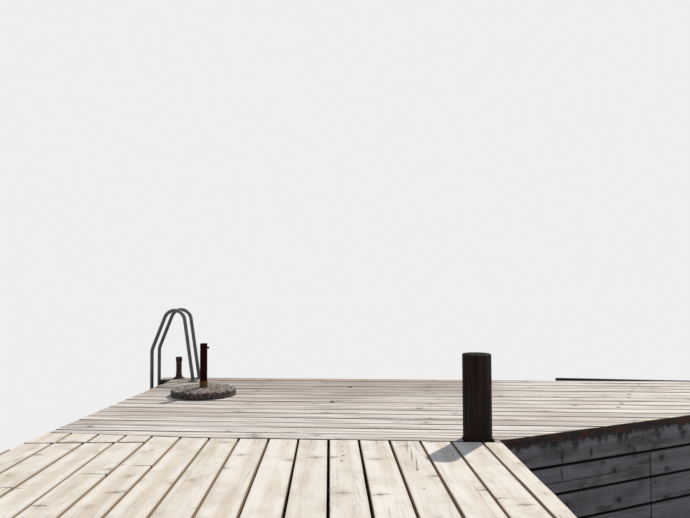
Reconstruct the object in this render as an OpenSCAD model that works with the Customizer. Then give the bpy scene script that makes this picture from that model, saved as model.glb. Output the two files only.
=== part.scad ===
// Wooden jetty. A walkway of lengthwise boards meets a head that is boarded crosswise.
// The head runs on to the right behind a slanting planked side, and all sides are planked.
// Millimetres, +Z up, +Y out over the water. The origin is the foot of the mooring post,
// on the level where the piles meet the bottom.

/* [Deck] */
// Height of the deck surface above the pile feet
deck_h = 1000; // [850:10:1400]
// Thickness of the deck boards
board_t = 45; // [34:1:60]
// How far the deck stands out past the wall planks
overhang = 15; // [5:1:30]

/* [Head] */
// From the mooring post to the left edge of the whole jetty
head_left = 2390; // [2200:1:2600]
// Length of the head along its boards
head_len = 4800; // [4600:10:5400]
// From the mooring post to the far edge
head_far = 2210; // [2100:1:2600]
// From the mooring post back to the head's near edge
head_near = 84; // [82:1:110]
// Number of boards across the head
head_boards = 16; // [14:1:18]
// Gap between the head boards
head_gap = 8; // [3:1:14]
// How much narrower the first head board is at its left end
first_taper = 74; // [40:1:90]
// Length over which the first head board narrows
taper_len = 900; // [600:10:1400]
// Angle of the slanting side to the head boards
slant_angle = 31; // [25:0.5:35]
// Where the slanting side starts, to the right of the mooring post
crook_x = 113; // [108:1:160]
// Where the slanting side starts, back from the mooring post
crook_back = 50; // [40:1:70]
// How far the last board runs out past the left edge to the ladder
ladder_board_out = 120; // [80:1:160]

/* [Walkway] */
// Length of the walkway from the head to the shore end
walk_len = 3600; // [2800:10:4600]
// Angle between the walkway boards and the jetty's left edge
board_skew = 5.8; // [3:0.1:8]
// Angle between the walkway's right edge and the jetty's left edge
edge_skew = 4.7; // [3:0.1:7]
// Width of the walkway boards
board_w = 148; // [120:1:170]
// Gap between the walkway boards
board_gap = 13; // [6:1:20]
// Width of the narrow board along the right edge, at the head
edge_board_w = 97; // [60:1:110]
// Gap between the walkway's board ends and the head
end_gap = 8; // [3:1:12]
// Number of boards at the left that stop short of the head
short_boards = 6; // [4:1:7]
// Distance of the joint where the short boards stop, back from the post
joint_back = 40; // [30:1:60]
// Gap of that joint
joint_gap = 14; // [3:1:16]
// Sideways step of the infill pieces beyond the joint
infill_shift = 11; // [5:1:16]

/* [Planked sides] */
// Width of the top plank, which is ripped narrower
top_plank_w = 136.5; // [110:0.5:145]
// Width of the other planks
plank_w = 145; // [120:1:160]
// Gap between the planks
plank_gap = 11.5; // [6:0.5:20]
// Thickness of the planks
plank_t = 45; // [28:1:60]
// Least height of the lowest plank above the pile feet
plank_clear = 30; // [20:1:80]
// Gap where planks butt on the long left side and on the slanting side
butt_gap = 3; // [2:1:6]
// Where the lower planks of the slanting side butt, along it from the walkway
slant_joint = 1157; // [1000:1:1400]

/* [Frame] */
// Height of the edge beams and joists
beam_h = 145; // [120:1:170]
// Thickness of the edge beams and the posts below them
beam_t = 95; // [70:1:110]
// Thickness of the joists
joist_t = 45; // [38:1:70]
// Spacing of the joists
joist_step = 600; // [500:10:700]
// Height of the bearers that carry the joists
bearer_h = 145; // [120:1:170]
// Thickness of the bearers
bearer_t = 95; // [70:1:110]
// Diameter of the piles
pile_d = 150; // [120:1:170]
// Number of pile bays below the head
head_bays = 4; // [3:1:6]
// Distance of the outermost head piles from the head's two ends
pile_margin = 350; // [270:5:450]
// Spacing of the piles below the walkway
walk_bay = 1100; // [850:10:1300]
// Distance of the walkway's left row of piles from its left edge
walk_row_left = 472; // [300:1:600]
// Distance of the walkway's right row of piles to the left of the mooring post
walk_row_right = 118; // [100:1:300]
// Distance of the head's first row of piles beyond the mooring post
first_row_out = 350; // [300:10:450]
// Distance of the head's last row of piles from the far edge beam
last_row_back = 140; // [130:10:260]
// Free room that frame timbers keep from the side posts
frame_clear = 5; // [3:1:12]

/* [Mooring post] */
// Diameter of the mooring post
post_d = 158; // [130:1:160]
// Height of the mooring post above the deck
post_h = 452; // [300:1:700]
// Gap between the mooring post and the deck boards
post_gap = 2; // [1:0.5:4]

/* [Pipe post] */
// Place of the pipe post along the head, left of the mooring post
pipe_left = 1882; // [1600:1:2000]
// Place of the pipe post beyond the mooring post
pipe_out = 1297; // [1000:1:1600]
// Outside diameter of the pipe
pipe_d = 54; // [45:0.5:60]
// Wall of the pipe
pipe_wall = 3.5; // [2.5:0.5:5]
// Height of the pipe above the deck
pipe_h = 385; // [300:1:600]
// Diameter of the round foot
foot_d = 472; // [400:1:560]
// Height of the round foot at its rim
foot_h = 50; // [40:1:70]
// Rise of the foot from its rim to the pipe
foot_rise = 6; // [2:1:12]
// Rounding of the foot's edges
foot_round = 12; // [6:1:18]
// Height of the collar on the foot
collar_h = 48; // [30:1:70]
// Wall of the collar
collar_wall = 3; // [2:0.5:5]

/* [Bollard] */
// Diameter of the bollard's stem
bollard_d = 48; // [40:1:56]
// Height of the bollard
bollard_h = 190; // [150:1:240]
// Diameter of the bollard's foot
bollard_foot_d = 98; // [80:1:104]
// Height of the flare at its foot
bollard_flare_h = 56; // [40:1:70]
// Diameter of its head
bollard_head_d = 56; // [50:1:64]

/* [Bathing ladder] */
// Diameter of the ladder's tubes
rail_d = 30; // [28:1:42]
// Distance between the two rails
rail_gap = 180; // [160:1:320]
// Height of the top of the rails above the deck
rail_top = 620; // [560:1:700]
// Radius of the bend over the top, at the tube's middle
rail_bend = 90; // [80:1:100]
// Lean of the leg that stands on the deck
deck_leg_lean = 8.4; // [6:0.1:10]
// Lean of the leg that reaches outwards
out_leg_lean = 21.7; // [18:0.1:24]
// Height above the deck where the outer leg turns straight down
knee_h = 266; // [220:1:300]
// Radius of that bend
knee_bend = 110; // [90:1:130]
// Distance of the outer legs from the deck's left edge
leg_out = 146; // [135:1:180]
// Height of the leg ends above the pile feet
leg_clear = 20; // [10:1:60]
// Diameter of the rungs
rung_d = 25; // [20:1:27]
// Distance between the rungs
rung_step = 265; // [220:1:300]

/* [Edge strake] */
// Where the strake starts, to the right of the mooring post
strake_x = 918; // [800:1:1200]
// Height of the strake
strake_h = 95; // [80:1:120]
// Thickness of the strake
strake_t = 40; // [30:1:60]
// How far it stands above the deck at its left end
strake_up = 20; // [10:1:30]
// How much it slopes down to the right
strake_tilt = 0.8; // [0:0.1:0.8]

/* [Hidden] */

round_fn = 96;
bar_fn = 48;
seat = 0.3;
reach = 9000;

// Levels
board_z = deck_h - board_t;
beam_z = board_z - beam_h;
bearer_z = beam_z - bearer_h;

// Outline of the deck, anticlockwise from the left corner of the shore end.
// Its edges are: 0 shore end, 1 walkway right, 2 slant, 3 right end, 4 far, 5 left.
shore_y = -head_near - walk_len;
end_x = head_len - head_left;
end_near_y = -crook_back + (end_x - crook_x) * tan(slant_angle);
shore_right_x = crook_x + (-crook_back - shore_y) * tan(edge_skew);
outline = [
    [-head_left, shore_y],
    [shore_right_x, shore_y],
    [crook_x, -crook_back],
    [end_x, end_near_y],
    [end_x, head_far],
    [-head_left, head_far]
];

// Depths of the side's layers behind the deck's edge
plank_out = overhang;
plank_in = overhang + plank_t;
beam_in = plank_in + beam_t;
frame_in = beam_in + frame_clear;

// Unit normal to the left of the line from p to q, which points into the outline
function left_normal(p, q) = let (d = q - p) [-d[1], d[0]] / norm(d);

// Corner b of the path a, b, c after its two lines moved inwards by d1 and d2
function inset_corner(a, b, c, d1, d2) =
    let (n1 = left_normal(a, b), n2 = left_normal(b, c), det = n1[0] * n2[1] - n1[1] * n2[0])
    b + [(d1 * n2[1] - d2 * n1[1]) / det, (d2 * n1[0] - d1 * n2[0]) / det];

// The outline moved inwards by depth on all sides but the shore end, which moves by shore
function inset_outline(depth, shore = 0) = [
    for (i = [0:5])
        inset_corner(
            outline[(i + 5) % 6], outline[i], outline[(i + 1) % 6],
            (i + 5) % 6 == 0 ? shore : depth,
            i == 0 ? shore : depth
        )
];

last_row_y = head_far - beam_in - last_row_back;

plank_outer = inset_outline(plank_out);
plank_inner = inset_outline(plank_in);
beam_inner = inset_outline(beam_in);

// The side's layer between two insets along edge i, mitred at both corners
function layer(outer, inner, i) = [outer[i], outer[(i + 1) % 6], inner[(i + 1) % 6], inner[i]];

// The left side's layer is split at the place where the walkway meets the head
split_y = -head_near + first_taper;
function left_layer_head(outer, inner) = [
    outer[5], [outer[5][0], split_y + butt_gap / 2], [inner[5][0], split_y + butt_gap / 2], inner[5]
];
function left_layer_walk(outer, inner) = [
    [outer[5][0], split_y - butt_gap / 2], outer[0], inner[0], [inner[5][0], split_y - butt_gap / 2]
];

// Near edge of the head, and the same line for the walkway's board ends
taper_x = -head_left + taper_len;
taper_slope = first_taper / taper_len;
function near_line(back) = [
    [-head_left - reach, -head_near + (taper_len + reach) * taper_slope - back],
    [taper_x, -head_near - back],
    [reach, -head_near - back]
];

// Walkway boards are counted from the right edge; q is the distance across them
walk_pitch = board_w + board_gap;
crook_q = crook_x * cos(board_skew) - crook_back * sin(board_skew);
first_gap_q = crook_q - edge_board_w - board_gap / 2;
left_q = -head_left * cos(board_skew) + shore_y * sin(board_skew);
walk_boards = floor((first_gap_q - left_q) / walk_pitch);
full_boards = walk_boards - short_boards;
function gap_q(m) = first_gap_q - m * walk_pitch;

head_pitch = (head_far + head_near) / head_boards;
head_board_w = head_pitch - head_gap;
// The slanting side cuts the boards below this count
cut_boards = ceil((end_near_y + head_near) / head_pitch);

// Rows of planks on the sides
plank_pitch = plank_w + plank_gap;
plank_rows = 1 + floor((board_z - top_plank_w - plank_clear) / plank_pitch);

post_r = post_d / 2;

// Vertical prism over a plan shape
module prism(points, z, h) {
    translate([0, 0, z]) linear_extrude(h) polygon(points);
}

module deck_outline() {
    prism(outline, board_z, board_t);
}

// Everything on the head's side of its near edge, and on the walkway's side
module head_zone() {
    line = near_line(0);
    prism(concat(line, [[reach, reach], [-head_left - reach, reach]]), board_z, board_t);
}

module walk_zone() {
    line = near_line(end_gap);
    prism(concat([[-head_left - reach, -reach], [reach, -reach]], [line[2], line[1], line[0]]), board_z, board_t);
}

module post_hole(gap, z, h) {
    translate([0, 0, z]) cylinder(r = post_r + gap, h = h, $fn = round_fn);
}

// One walkway board between two lines across the boards, from the shore up to y
module walk_board(q0, q1, y = reach) {
    intersection() {
        rotate([0, 0, board_skew]) translate([q0, -reach, board_z]) cube([q1 - q0, reach + y, board_t]);
        deck_outline();
        walk_zone();
    }
}

module walkway_boards() {
    color("#d8cfc0") for (m = [1:full_boards])
        walk_board(gap_q(m) + board_gap / 2, gap_q(m - 1) - board_gap / 2);
}

module walkway_short_boards() {
    color("#d8cfc0") for (m = [full_boards + 1:walk_boards])
        walk_board(gap_q(m) + board_gap / 2, gap_q(m - 1) - board_gap / 2, -joint_back);
}

module walkway_edge_board() {
    color("#dcd3c4") walk_board(first_gap_q + board_gap / 2, first_gap_q + 2 * walk_pitch);
}

// Short pieces between the joint and the head
module infill_boards() {
    infill_count = ceil((gap_q(full_boards) + head_left * cos(board_skew)) / walk_pitch) - 1;
    color("#d2c8b8") for (m = [0:infill_count])
        intersection() {
            rotate([0, 0, board_skew])
                translate([gap_q(full_boards + 1 + m) + board_gap / 2 + (m == infill_count ? -walk_pitch : 0)
                    + infill_shift, joint_gap - joint_back, board_z])
                cube([board_w + (m == infill_count ? walk_pitch : 0) - (m == 0 ? infill_shift : 0),
                    reach, board_t]);
            deck_outline();
            walk_zone();
        }
}

// Head board number i from the near edge
module head_board(i, left = 0) {
    translate([-head_left - left, -head_near + i * head_pitch, board_z])
        cube([head_len + left, head_board_w, board_t]);
}

module head_first_board() {
    color("#cfc5b8") difference() {
        intersection() {
            head_board(0);
            deck_outline();
            head_zone();
        }
        post_hole(post_gap, board_z - 1, board_t + 2);
        translate([-post_r - post_gap, -head_near - 1, board_z - 1])
            cube([post_d + 2 * post_gap, head_near + 1, board_t + 2]);
    }
}

module head_cut_boards() {
    color("#cfc5b8") difference() {
        for (i = [1:cut_boards - 1]) intersection() {
            head_board(i);
            deck_outline();
        }
        post_hole(post_gap, board_z - 1, board_t + 2);
    }
}

module head_long_boards() {
    color("#cbc1b5") for (i = [cut_boards:head_boards - 2]) head_board(i);
}

module ladder_board() {
    color("#cbc1b5") translate([-head_left - ladder_board_out, head_far - head_board_w, board_z])
        cube([head_len + ladder_board_out, head_board_w, board_t]);
}

// Rows of planks from the deck down over one plan shape
module planks(shape) {
    prism(shape, board_z - top_plank_w, top_plank_w);
    for (row = [1:plank_rows - 1])
        prism(shape, board_z - top_plank_w - row * plank_pitch, plank_w);
}

// The slanting side's top plank is whole, and the planks below it butt at one post
module slant_wall() {
    color("#77757a") difference() {
        planks(layer(plank_outer, plank_inner, 2));
        post_hole(seat, -1, deck_h);
        translate([crook_x, -crook_back, -1]) rotate([0, 0, slant_angle])
            translate([slant_joint - butt_gap / 2, 0, 0]) cube([butt_gap, beam_in, board_z - top_plank_w]);
    }
}

module end_wall() {
    color("#77757a") planks(layer(plank_outer, plank_inner, 3));
}

module far_wall() {
    color("#77757a") planks(layer(plank_outer, plank_inner, 4));
}

module head_left_wall() {
    color("#77757a") planks(left_layer_head(plank_outer, plank_inner));
}

module walkway_left_wall() {
    color("#77757a") planks(left_layer_walk(plank_outer, plank_inner));
}

module walkway_right_wall() {
    color("#77757a") difference() {
        planks(layer(plank_outer, plank_inner, 1));
        post_hole(seat, -1, deck_h);
    }
}

// Edge beams lie under the board ends, behind the planks
module edge_beam(shape) {
    color("#8d8478") difference() {
        prism(shape, beam_z, beam_h);
        post_hole(seat, beam_z - 1, beam_h + 2);
    }
}

module slant_beam() {
    edge_beam(layer(plank_inner, beam_inner, 2));
}

module end_beam() {
    edge_beam(layer(plank_inner, beam_inner, 3));
}

module far_beam() {
    edge_beam(layer(plank_inner, beam_inner, 4));
}

module head_left_beam() {
    edge_beam(left_layer_head(plank_inner, beam_inner));
}

module walkway_left_beam() {
    edge_beam(left_layer_walk(plank_inner, beam_inner));
}

module walkway_right_beam() {
    edge_beam(layer(plank_inner, beam_inner, 1));
}

// Room for timbers between the edge beams, and for what lies below between the side posts
module joist_room() {
    prism(inset_outline(beam_in), beam_z, beam_h);
}

module bearer_room() {
    prism(inset_outline(frame_in), bearer_z, bearer_h);
}

module shore_beam() {
    color("#8d8478") intersection() {
        translate([-head_left, shore_y, beam_z]) cube([head_left + reach, beam_t, beam_h]);
        joist_room();
    }
}

// One beam carries the board ends at the head, the other the joint of the short boards
junction_y = -post_r - seat - beam_t;
joint_low_y = -joint_back - head_left * sin(board_skew);
joint_beam_y = min(joint_low_y - frame_clear, junction_y - beam_t - 2 * frame_clear);

module junction_beams() {
    color("#8d8478") for (y = [junction_y, joint_beam_y]) intersection() {
        translate([-head_left, y, beam_z]) cube([head_left + reach, beam_t, beam_h]);
        joist_room();
    }
}

// Joists of the head run out from the junction, those of the walkway run across it
head_joist_first = floor((-head_left + beam_in) / joist_step) + 1;
head_joist_last = floor((end_x - beam_in - joist_t) / joist_step - 0.5);

module head_joists() {
    color("#93897b") for (i = [head_joist_first - 1:head_joist_last])
        intersection() {
            translate([(i + 0.5) * joist_step - joist_t / 2, -post_r - seat, beam_z])
                cube([joist_t, reach, beam_h]);
            joist_room();
        }
}

walk_joist_room = joint_beam_y - shore_y - beam_t;
walk_joists = floor(walk_joist_room / joist_step);

module walkway_joists() {
    color("#93897b") for (i = [1:walk_joists])
        intersection() {
            translate([-head_left, joint_beam_y - i * walk_joist_room / (walk_joists + 1), beam_z])
                cube([head_left + reach, joist_t, beam_h]);
            joist_room();
        }
}

// Bearers of the head run along it in three rows, which end at the slanting side's posts
head_row_y = [
    first_row_out,
    (first_row_out + last_row_y) / 2,
    last_row_y
];
head_bay = (head_len - 2 * pile_margin) / head_bays;
head_pile_x = -head_left + pile_margin;
function bearer_end_x(y) = min(
    end_x - frame_in,
    crook_x + (y - bearer_t / 2 + crook_back - frame_in / cos(slant_angle)) / tan(slant_angle)
);
function row_bays(y) = floor((bearer_end_x(y) - pile_d / 2 - head_pile_x) / head_bay);

module head_bearers() {
    color("#867c70") for (y = head_row_y) intersection() {
        translate([-head_left, y - bearer_t / 2, bearer_z]) cube([reach, bearer_t, bearer_h]);
        bearer_room();
    }
}

module pile() {
    cylinder(d = pile_d, h = bearer_z, $fn = round_fn);
}

module head_piles() {
    color("#6f665b") for (y = head_row_y, i = [0:row_bays(y)])
        translate([head_pile_x + i * head_bay, y, 0]) pile();
}

// Bearers of the walkway run along it in three rows
walk_row_x = [
    -head_left + walk_row_left,
    (-head_left + walk_row_left - walk_row_right) / 2,
    -walk_row_right
];
walk_pile_y = junction_y - pile_d / 2;
walk_piles = floor((walk_pile_y - shore_y - pile_d / 2) / walk_bay);

module walkway_bearers() {
    color("#867c70") for (x = walk_row_x) intersection() {
        translate([x - bearer_t / 2, shore_y + frame_clear, bearer_z])
            cube([bearer_t, -shore_y - post_r - 2 * frame_clear, bearer_h]);
        bearer_room();
    }
}

module walkway_piles() {
    color("#6f665b") for (x = walk_row_x, i = [0:walk_piles])
        translate([x, walk_pile_y - i * walk_bay, 0]) pile();
}

// Posts below the edge beam of edge i, at places along it from the edge's start
module edge_posts(i, places) {
    a = outline[i];
    b = outline[(i + 1) % 6];
    turn = atan2(b[1] - a[1], b[0] - a[0]);
    color("#7d746a") translate([a[0], a[1], 0]) rotate([0, 0, turn]) for (along = places)
        translate([along, plank_in, 0]) cube([beam_t, beam_t, beam_z]);
}

// Even places for count posts along edge i, between the two margins
function edge_length(i) = norm(outline[(i + 1) % 6] - outline[i]);
function even_places(i, count, margin_a, margin_b) = [
    for (k = [0:count - 1]) margin_a + k * (edge_length(i) - margin_a - margin_b - beam_t) / (count - 1)
];

// Margins of the posts at the deck's corners and at the two sides of the crook
corner_margin = beam_in + frame_clear;
slant_margin = 40;
crook_margin = 60;

module slant_posts() {
    edge_posts(2, [slant_margin, slant_joint - beam_t / 2, edge_length(2) - corner_margin - beam_t]);
}

module end_posts() {
    edge_posts(3, even_places(3, 2, corner_margin, corner_margin));
}

module far_posts() {
    edge_posts(4, even_places(4, 5, corner_margin, corner_margin));
}

module left_posts() {
    edge_posts(5, even_places(5, 6, corner_margin, frame_clear));
}

module walkway_posts() {
    edge_posts(1, even_places(1, 4, frame_clear, crook_margin));
}

// The mooring post is a round timber that stands on the bottom. Above the deck it is worn
// a little thinner, with a rounded top.
post_wear = 1;
post_top_round = 14;

module mooring_post() {
    top = deck_h + post_h;
    worn_r = post_r - post_wear;
    color("#3a302a") rotate_extrude($fn = round_fn) polygon([
        [0, 0], [post_r, 0], [post_r, deck_h], [worn_r, deck_h], [worn_r, top - post_top_round],
        [worn_r - 3, top - post_top_round / 2], [worn_r - 9, top - post_top_round / 5], [0, top]
    ]);
}

module at_pipe() {
    translate([-pipe_left, pipe_out, deck_h]) children();
}

pipe_r = pipe_d / 2;
foot_r = foot_d / 2;

module pipe_post() {
    color("#4a2a22") at_pipe() difference() {
        cylinder(r = pipe_r, h = pipe_h, $fn = round_fn);
        translate([0, 0, -1]) cylinder(r = pipe_r - pipe_wall, h = pipe_h + 2, $fn = round_fn);
    }
}

// Points of a quarter circle of radius r about c, from angle a to a + 90
function quarter(c, r, a, steps = 6) = [
    for (i = [0:steps]) c + r * [cos(a + 90 * i / steps), sin(a + 90 * i / steps)]
];

// Round foot with a pebbled finish, a rounded rim and a hole for the pipe
module pipe_foot() {
    low_round = foot_round / 2;
    color("#8a837d") at_pipe() rotate_extrude($fn = round_fn) polygon(concat(
        [[pipe_r + seat, 0]],
        quarter([foot_r - low_round, low_round], low_round, -90),
        quarter([foot_r - foot_round, foot_h - foot_round], foot_round, 0),
        [[pipe_r + collar_wall + seat, foot_h + foot_rise], [pipe_r + seat, foot_h + foot_rise]]
    ));
}

module pipe_collar() {
    color("#7a5a32") at_pipe() translate([0, 0, foot_h + foot_rise]) difference() {
        cylinder(r = pipe_r + seat + collar_wall, h = collar_h, $fn = round_fn);
        translate([0, 0, -1]) cylinder(r = pipe_r + seat, h = collar_h + 2, $fn = round_fn);
    }
}

// Clamp screw near the pipe's top
screw_d = 10;
screw_head_d = 17;
screw_head_t = 7;
screw_free = 6;
screw_drop = 31;

module pipe_bolt() {
    color("#3c231d") at_pipe() translate([0, 0, pipe_h - screw_drop]) difference() {
        rotate([0, 90, 0]) {
            cylinder(d = screw_d, h = pipe_r + screw_free, $fn = bar_fn);
            translate([0, 0, pipe_r + screw_free]) cylinder(d = screw_head_d, h = screw_head_t, $fn = 6);
        }
        cylinder(r = pipe_r, h = 4 * screw_d, center = true, $fn = round_fn);
    }
}

// Bollard on the last board: a flared foot, a plain stem and a slightly wider head
bollard_x = -head_left + 35;
bollard_y = head_far - 52;
bollard_plate_t = 8;
bollard_plate_rim = 6;
bollard_head_h = 32;
bollard_head_flare = 14;
bollard_head_round = 6;

module bollard() {
    stem_r = bollard_d / 2;
    plate_r = bollard_foot_d / 2;
    head_r = bollard_head_d / 2;
    flare_r = plate_r - bollard_plate_rim;
    flare = [
        for (i = [0:8]) let (a = 90 * i / 8) [
            flare_r - (flare_r - stem_r) * sin(a),
            bollard_flare_h - (bollard_flare_h - bollard_plate_t) * cos(a)
        ]
    ];
    color("#4c2f27") translate([bollard_x, bollard_y, deck_h]) rotate_extrude($fn = round_fn) polygon(concat(
        [[0, 0], [plate_r, 0], [plate_r, bollard_plate_t]],
        flare,
        [
            [stem_r, bollard_h - bollard_head_h - bollard_head_flare],
            [head_r, bollard_h - bollard_head_h],
            [head_r, bollard_h - bollard_head_round],
            [head_r - bollard_head_round, bollard_h],
            [0, bollard_h]
        ]
    ));
}

// The ladder's rails lie in planes across the left edge. x and z are counted in that plane,
// from the left edge and the deck: a leg from the deck, a bend over the top, a leg that
// leans outwards, a knee and a leg straight down.
far_rail_edge = 45;
far_rail_y = head_far - far_rail_edge;
near_rail_y = far_rail_y - rail_gap;
rail_r = rail_d / 2;
foot_plate_t = 8;
foot_plate_d = 80;
knee = [-leg_out, knee_h];
apex_half = (deck_leg_lean + out_leg_lean) / 2;
bisector_lean = (out_leg_lean - deck_leg_lean) / 2;
// Middle of the top bend: above the knee along the outer leg until the bend's top is right
bend_z = rail_top - rail_r - rail_bend;
bend_x = knee[0] + rail_bend * cos(out_leg_lean)
    + (bend_z - knee[1] + rail_bend * sin(out_leg_lean)) * tan(out_leg_lean);
bend_c = [bend_x, bend_z];
// Ends of the top bend
bend_out = bend_c + rail_bend * [-cos(out_leg_lean), sin(out_leg_lean)];
bend_in = bend_c + rail_bend * [cos(deck_leg_lean), sin(deck_leg_lean)];
deck_leg_foot = [bend_in[0] + (bend_in[1] - foot_plate_t) * tan(deck_leg_lean), foot_plate_t];
// Middle and ends of the knee's bend
knee_trim = knee_bend * tan(out_leg_lean / 2);
knee_c = [knee[0] + knee_bend, knee[1] - knee_trim];
knee_top = knee + knee_trim * [sin(out_leg_lean), cos(out_leg_lean)];

// A rail is one bent tube: rings along its path, each a centre and the in-plane direction
// towards the outside of the bends
rail_sides = 24;
top_steps = 12;
knee_steps = 4;
function arc_ring(c, radius, a) = [c + radius * [cos(a), sin(a)], [cos(a), sin(a)]];
rail_path = concat(
    [[deck_leg_foot, [1 / cos(deck_leg_lean), 0]]],
    [for (i = [0:top_steps])
        arc_ring(bend_c, rail_bend, deck_leg_lean + i * (180 - deck_leg_lean - out_leg_lean) / top_steps)],
    [for (i = [0:knee_steps])
        arc_ring(knee_c, knee_bend, 180 - out_leg_lean + i * out_leg_lean / knee_steps)],
    [[[knee[0], leg_clear - deck_h], [-1, 0]]]
);
function rail_ring(c, n) = [
    for (k = [0:rail_sides - 1]) let (t = 360 * k / rail_sides)
        [c[0] + rail_r * n[0] * cos(t), rail_r * sin(t), c[1] + rail_r * n[1] * cos(t)]
];

module rail(y) {
    rings = len(rail_path);
    points = [for (ring = rail_path) each rail_ring(ring[0], ring[1])];
    sides = [
        for (i = [0:rings - 2], k = [0:rail_sides - 1]) let (next = (k + 1) % rail_sides)
            [i * rail_sides + k, i * rail_sides + next, (i + 1) * rail_sides + next, (i + 1) * rail_sides + k]
    ];
    foot_end = [for (k = [rail_sides - 1:-1:0]) k];
    low_end = [for (k = [0:rail_sides - 1]) (rings - 1) * rail_sides + k];
    color("#8b9297") translate([-head_left, y, deck_h])
        polyhedron(points = points, faces = concat(sides, [foot_end, low_end]));
}

module near_rail() {
    rail(near_rail_y);
}

module far_rail() {
    rail(far_rail_y);
}

// Rungs are coped to the legs
top_rung_drop = 120;
top_rung_z = deck_h - top_rung_drop;
rungs = 1 + floor((top_rung_z - leg_clear - rung_d) / rung_step);

module leg_cuts() {
    for (y = [near_rail_y, far_rail_y])
        translate([-head_left - leg_out, y, -1]) cylinder(r = rail_r, h = deck_h, $fn = bar_fn);
}

module ladder_rungs() {
    color("#8b9297") difference() {
        for (i = [0:rungs - 1])
            translate([-head_left - leg_out, near_rail_y, top_rung_z - i * rung_step])
                rotate([-90, 0, 0]) cylinder(d = rung_d, h = rail_gap, $fn = bar_fn);
        leg_cuts();
    }
}

module ladder_feet() {
    color("#7d8489") for (y = [near_rail_y, far_rail_y])
        translate([-head_left + deck_leg_foot[0], y, deck_h])
            cylinder(d = foot_plate_d, h = foot_plate_t, $fn = round_fn);
}

// Stays hold each outer leg off the planked side
stay_d = 22;
stay_plate_d = 60;
stay_plate_t = 6;
stay_z = deck_h - board_t - top_plank_w / 2;

module ladder_stays() {
    color("#7d8489") difference() {
        for (y = [near_rail_y, far_rail_y])
            translate([-head_left - leg_out, y, stay_z]) rotate([0, 90, 0]) {
                cylinder(d = stay_d, h = leg_out + overhang, $fn = bar_fn);
                translate([0, 0, leg_out + overhang - stay_plate_t])
                    cylinder(d = stay_plate_d, h = stay_plate_t, $fn = bar_fn);
            }
        leg_cuts();
    }
}

// Tarred strake along the far edge, which slopes down to the right
module edge_strake() {
    strake_len = end_x - strake_x;
    color("#1c1b1a") translate([strake_x, head_far, deck_h + strake_up]) rotate([0, strake_tilt, 0])
        translate([0, 0, -strake_h]) cube([strake_len, strake_t, strake_h]);
}

walkway_boards();
walkway_short_boards();
walkway_edge_board();
infill_boards();
head_first_board();
head_cut_boards();
head_long_boards();
ladder_board();
slant_wall();
end_wall();
far_wall();
head_left_wall();
walkway_left_wall();
walkway_right_wall();
slant_beam();
end_beam();
far_beam();
head_left_beam();
walkway_left_beam();
walkway_right_beam();
shore_beam();
junction_beams();
head_joists();
walkway_joists();
head_bearers();
walkway_bearers();
head_piles();
walkway_piles();
slant_posts();
end_posts();
far_posts();
left_posts();
walkway_posts();
mooring_post();
pipe_post();
pipe_foot();
pipe_collar();
pipe_bolt();
bollard();
near_rail();
far_rail();
ladder_rungs();
ladder_feet();
ladder_stays();
edge_strake();
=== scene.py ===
"""Looks of a wooden jetty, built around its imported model.

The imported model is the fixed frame. Each timber is worked from the solid of its node: its
edges are eased, it cups and bows a little, and drying checks open along its grain. Wood, tar,
rust, tube and pebble finishes follow the grain and the shape of what they cover.
"""

import logging
import math
import random
from abc import ABC, abstractmethod
from dataclasses import dataclass, field, replace
from enum import Enum
from functools import cache
from typing import Any, ClassVar, Iterable, Sequence, Union

import bmesh
import bpy
import numpy as np
from mathutils import Matrix, Vector
from mathutils.bvhtree import BVHTree


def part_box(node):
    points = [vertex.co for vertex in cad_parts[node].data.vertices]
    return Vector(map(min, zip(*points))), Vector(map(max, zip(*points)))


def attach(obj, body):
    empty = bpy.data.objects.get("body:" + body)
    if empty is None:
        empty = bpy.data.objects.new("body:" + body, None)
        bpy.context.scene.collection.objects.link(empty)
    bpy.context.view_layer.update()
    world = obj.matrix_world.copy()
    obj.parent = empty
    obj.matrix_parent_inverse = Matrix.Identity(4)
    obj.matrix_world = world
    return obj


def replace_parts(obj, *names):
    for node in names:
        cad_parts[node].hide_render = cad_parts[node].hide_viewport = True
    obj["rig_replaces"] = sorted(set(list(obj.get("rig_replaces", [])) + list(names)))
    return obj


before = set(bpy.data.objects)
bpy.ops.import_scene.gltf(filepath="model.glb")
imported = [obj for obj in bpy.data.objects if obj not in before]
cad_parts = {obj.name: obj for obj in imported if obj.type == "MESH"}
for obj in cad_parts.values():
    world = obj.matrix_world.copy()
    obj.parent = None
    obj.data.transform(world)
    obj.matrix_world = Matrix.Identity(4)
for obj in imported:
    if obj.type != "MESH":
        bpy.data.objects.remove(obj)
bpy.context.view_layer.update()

LOG = logging.getLogger("jetty")
BODY = "root"
UP = Vector((0.0, 0.0, 1.0))
TOWARDS_SHORE = Vector((0.0, -1.0, 0.0))
TO_THE_RIGHT = Vector((1.0, 0.0, 0.0))

Rgb = tuple[float, float, float]
Pair = tuple[float, float]
Faces = list[tuple[int, ...]]
Operand = Union["Signal", float]


class Slot(Enum):
    """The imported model's material slots."""

    WALKWAY = "walkway_wood"
    HEAD = "head_wood"
    SIDES = "side_plank_wood"
    FRAME = "frame_wood"
    PILES = "pile_wood"
    POST = "dark_post_wood"
    STRAKE = "tarred_strake"
    RUST = "rusty_steel"
    YELLOW_RUST = "yellow_rust"
    STONE = "pebbled_stone"
    LADDER = "ladder_metal"


def srgb(red: int, green: int, blue: int) -> Rgb:
    """Turns a screen colour into the linear one that shaders use.

    Args:
        red: Red byte of the screen colour.
        green: Green byte.
        blue: Blue byte.

    Returns:
        The linear colour.
    """
    def linear(byte: int) -> float:
        """Linear share of one byte."""
        share = byte / 255
        return share / 12.92 if share <= 0.04045 else ((share + 0.055) / 1.055) ** 2.4

    return linear(red), linear(green), linear(blue)


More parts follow.
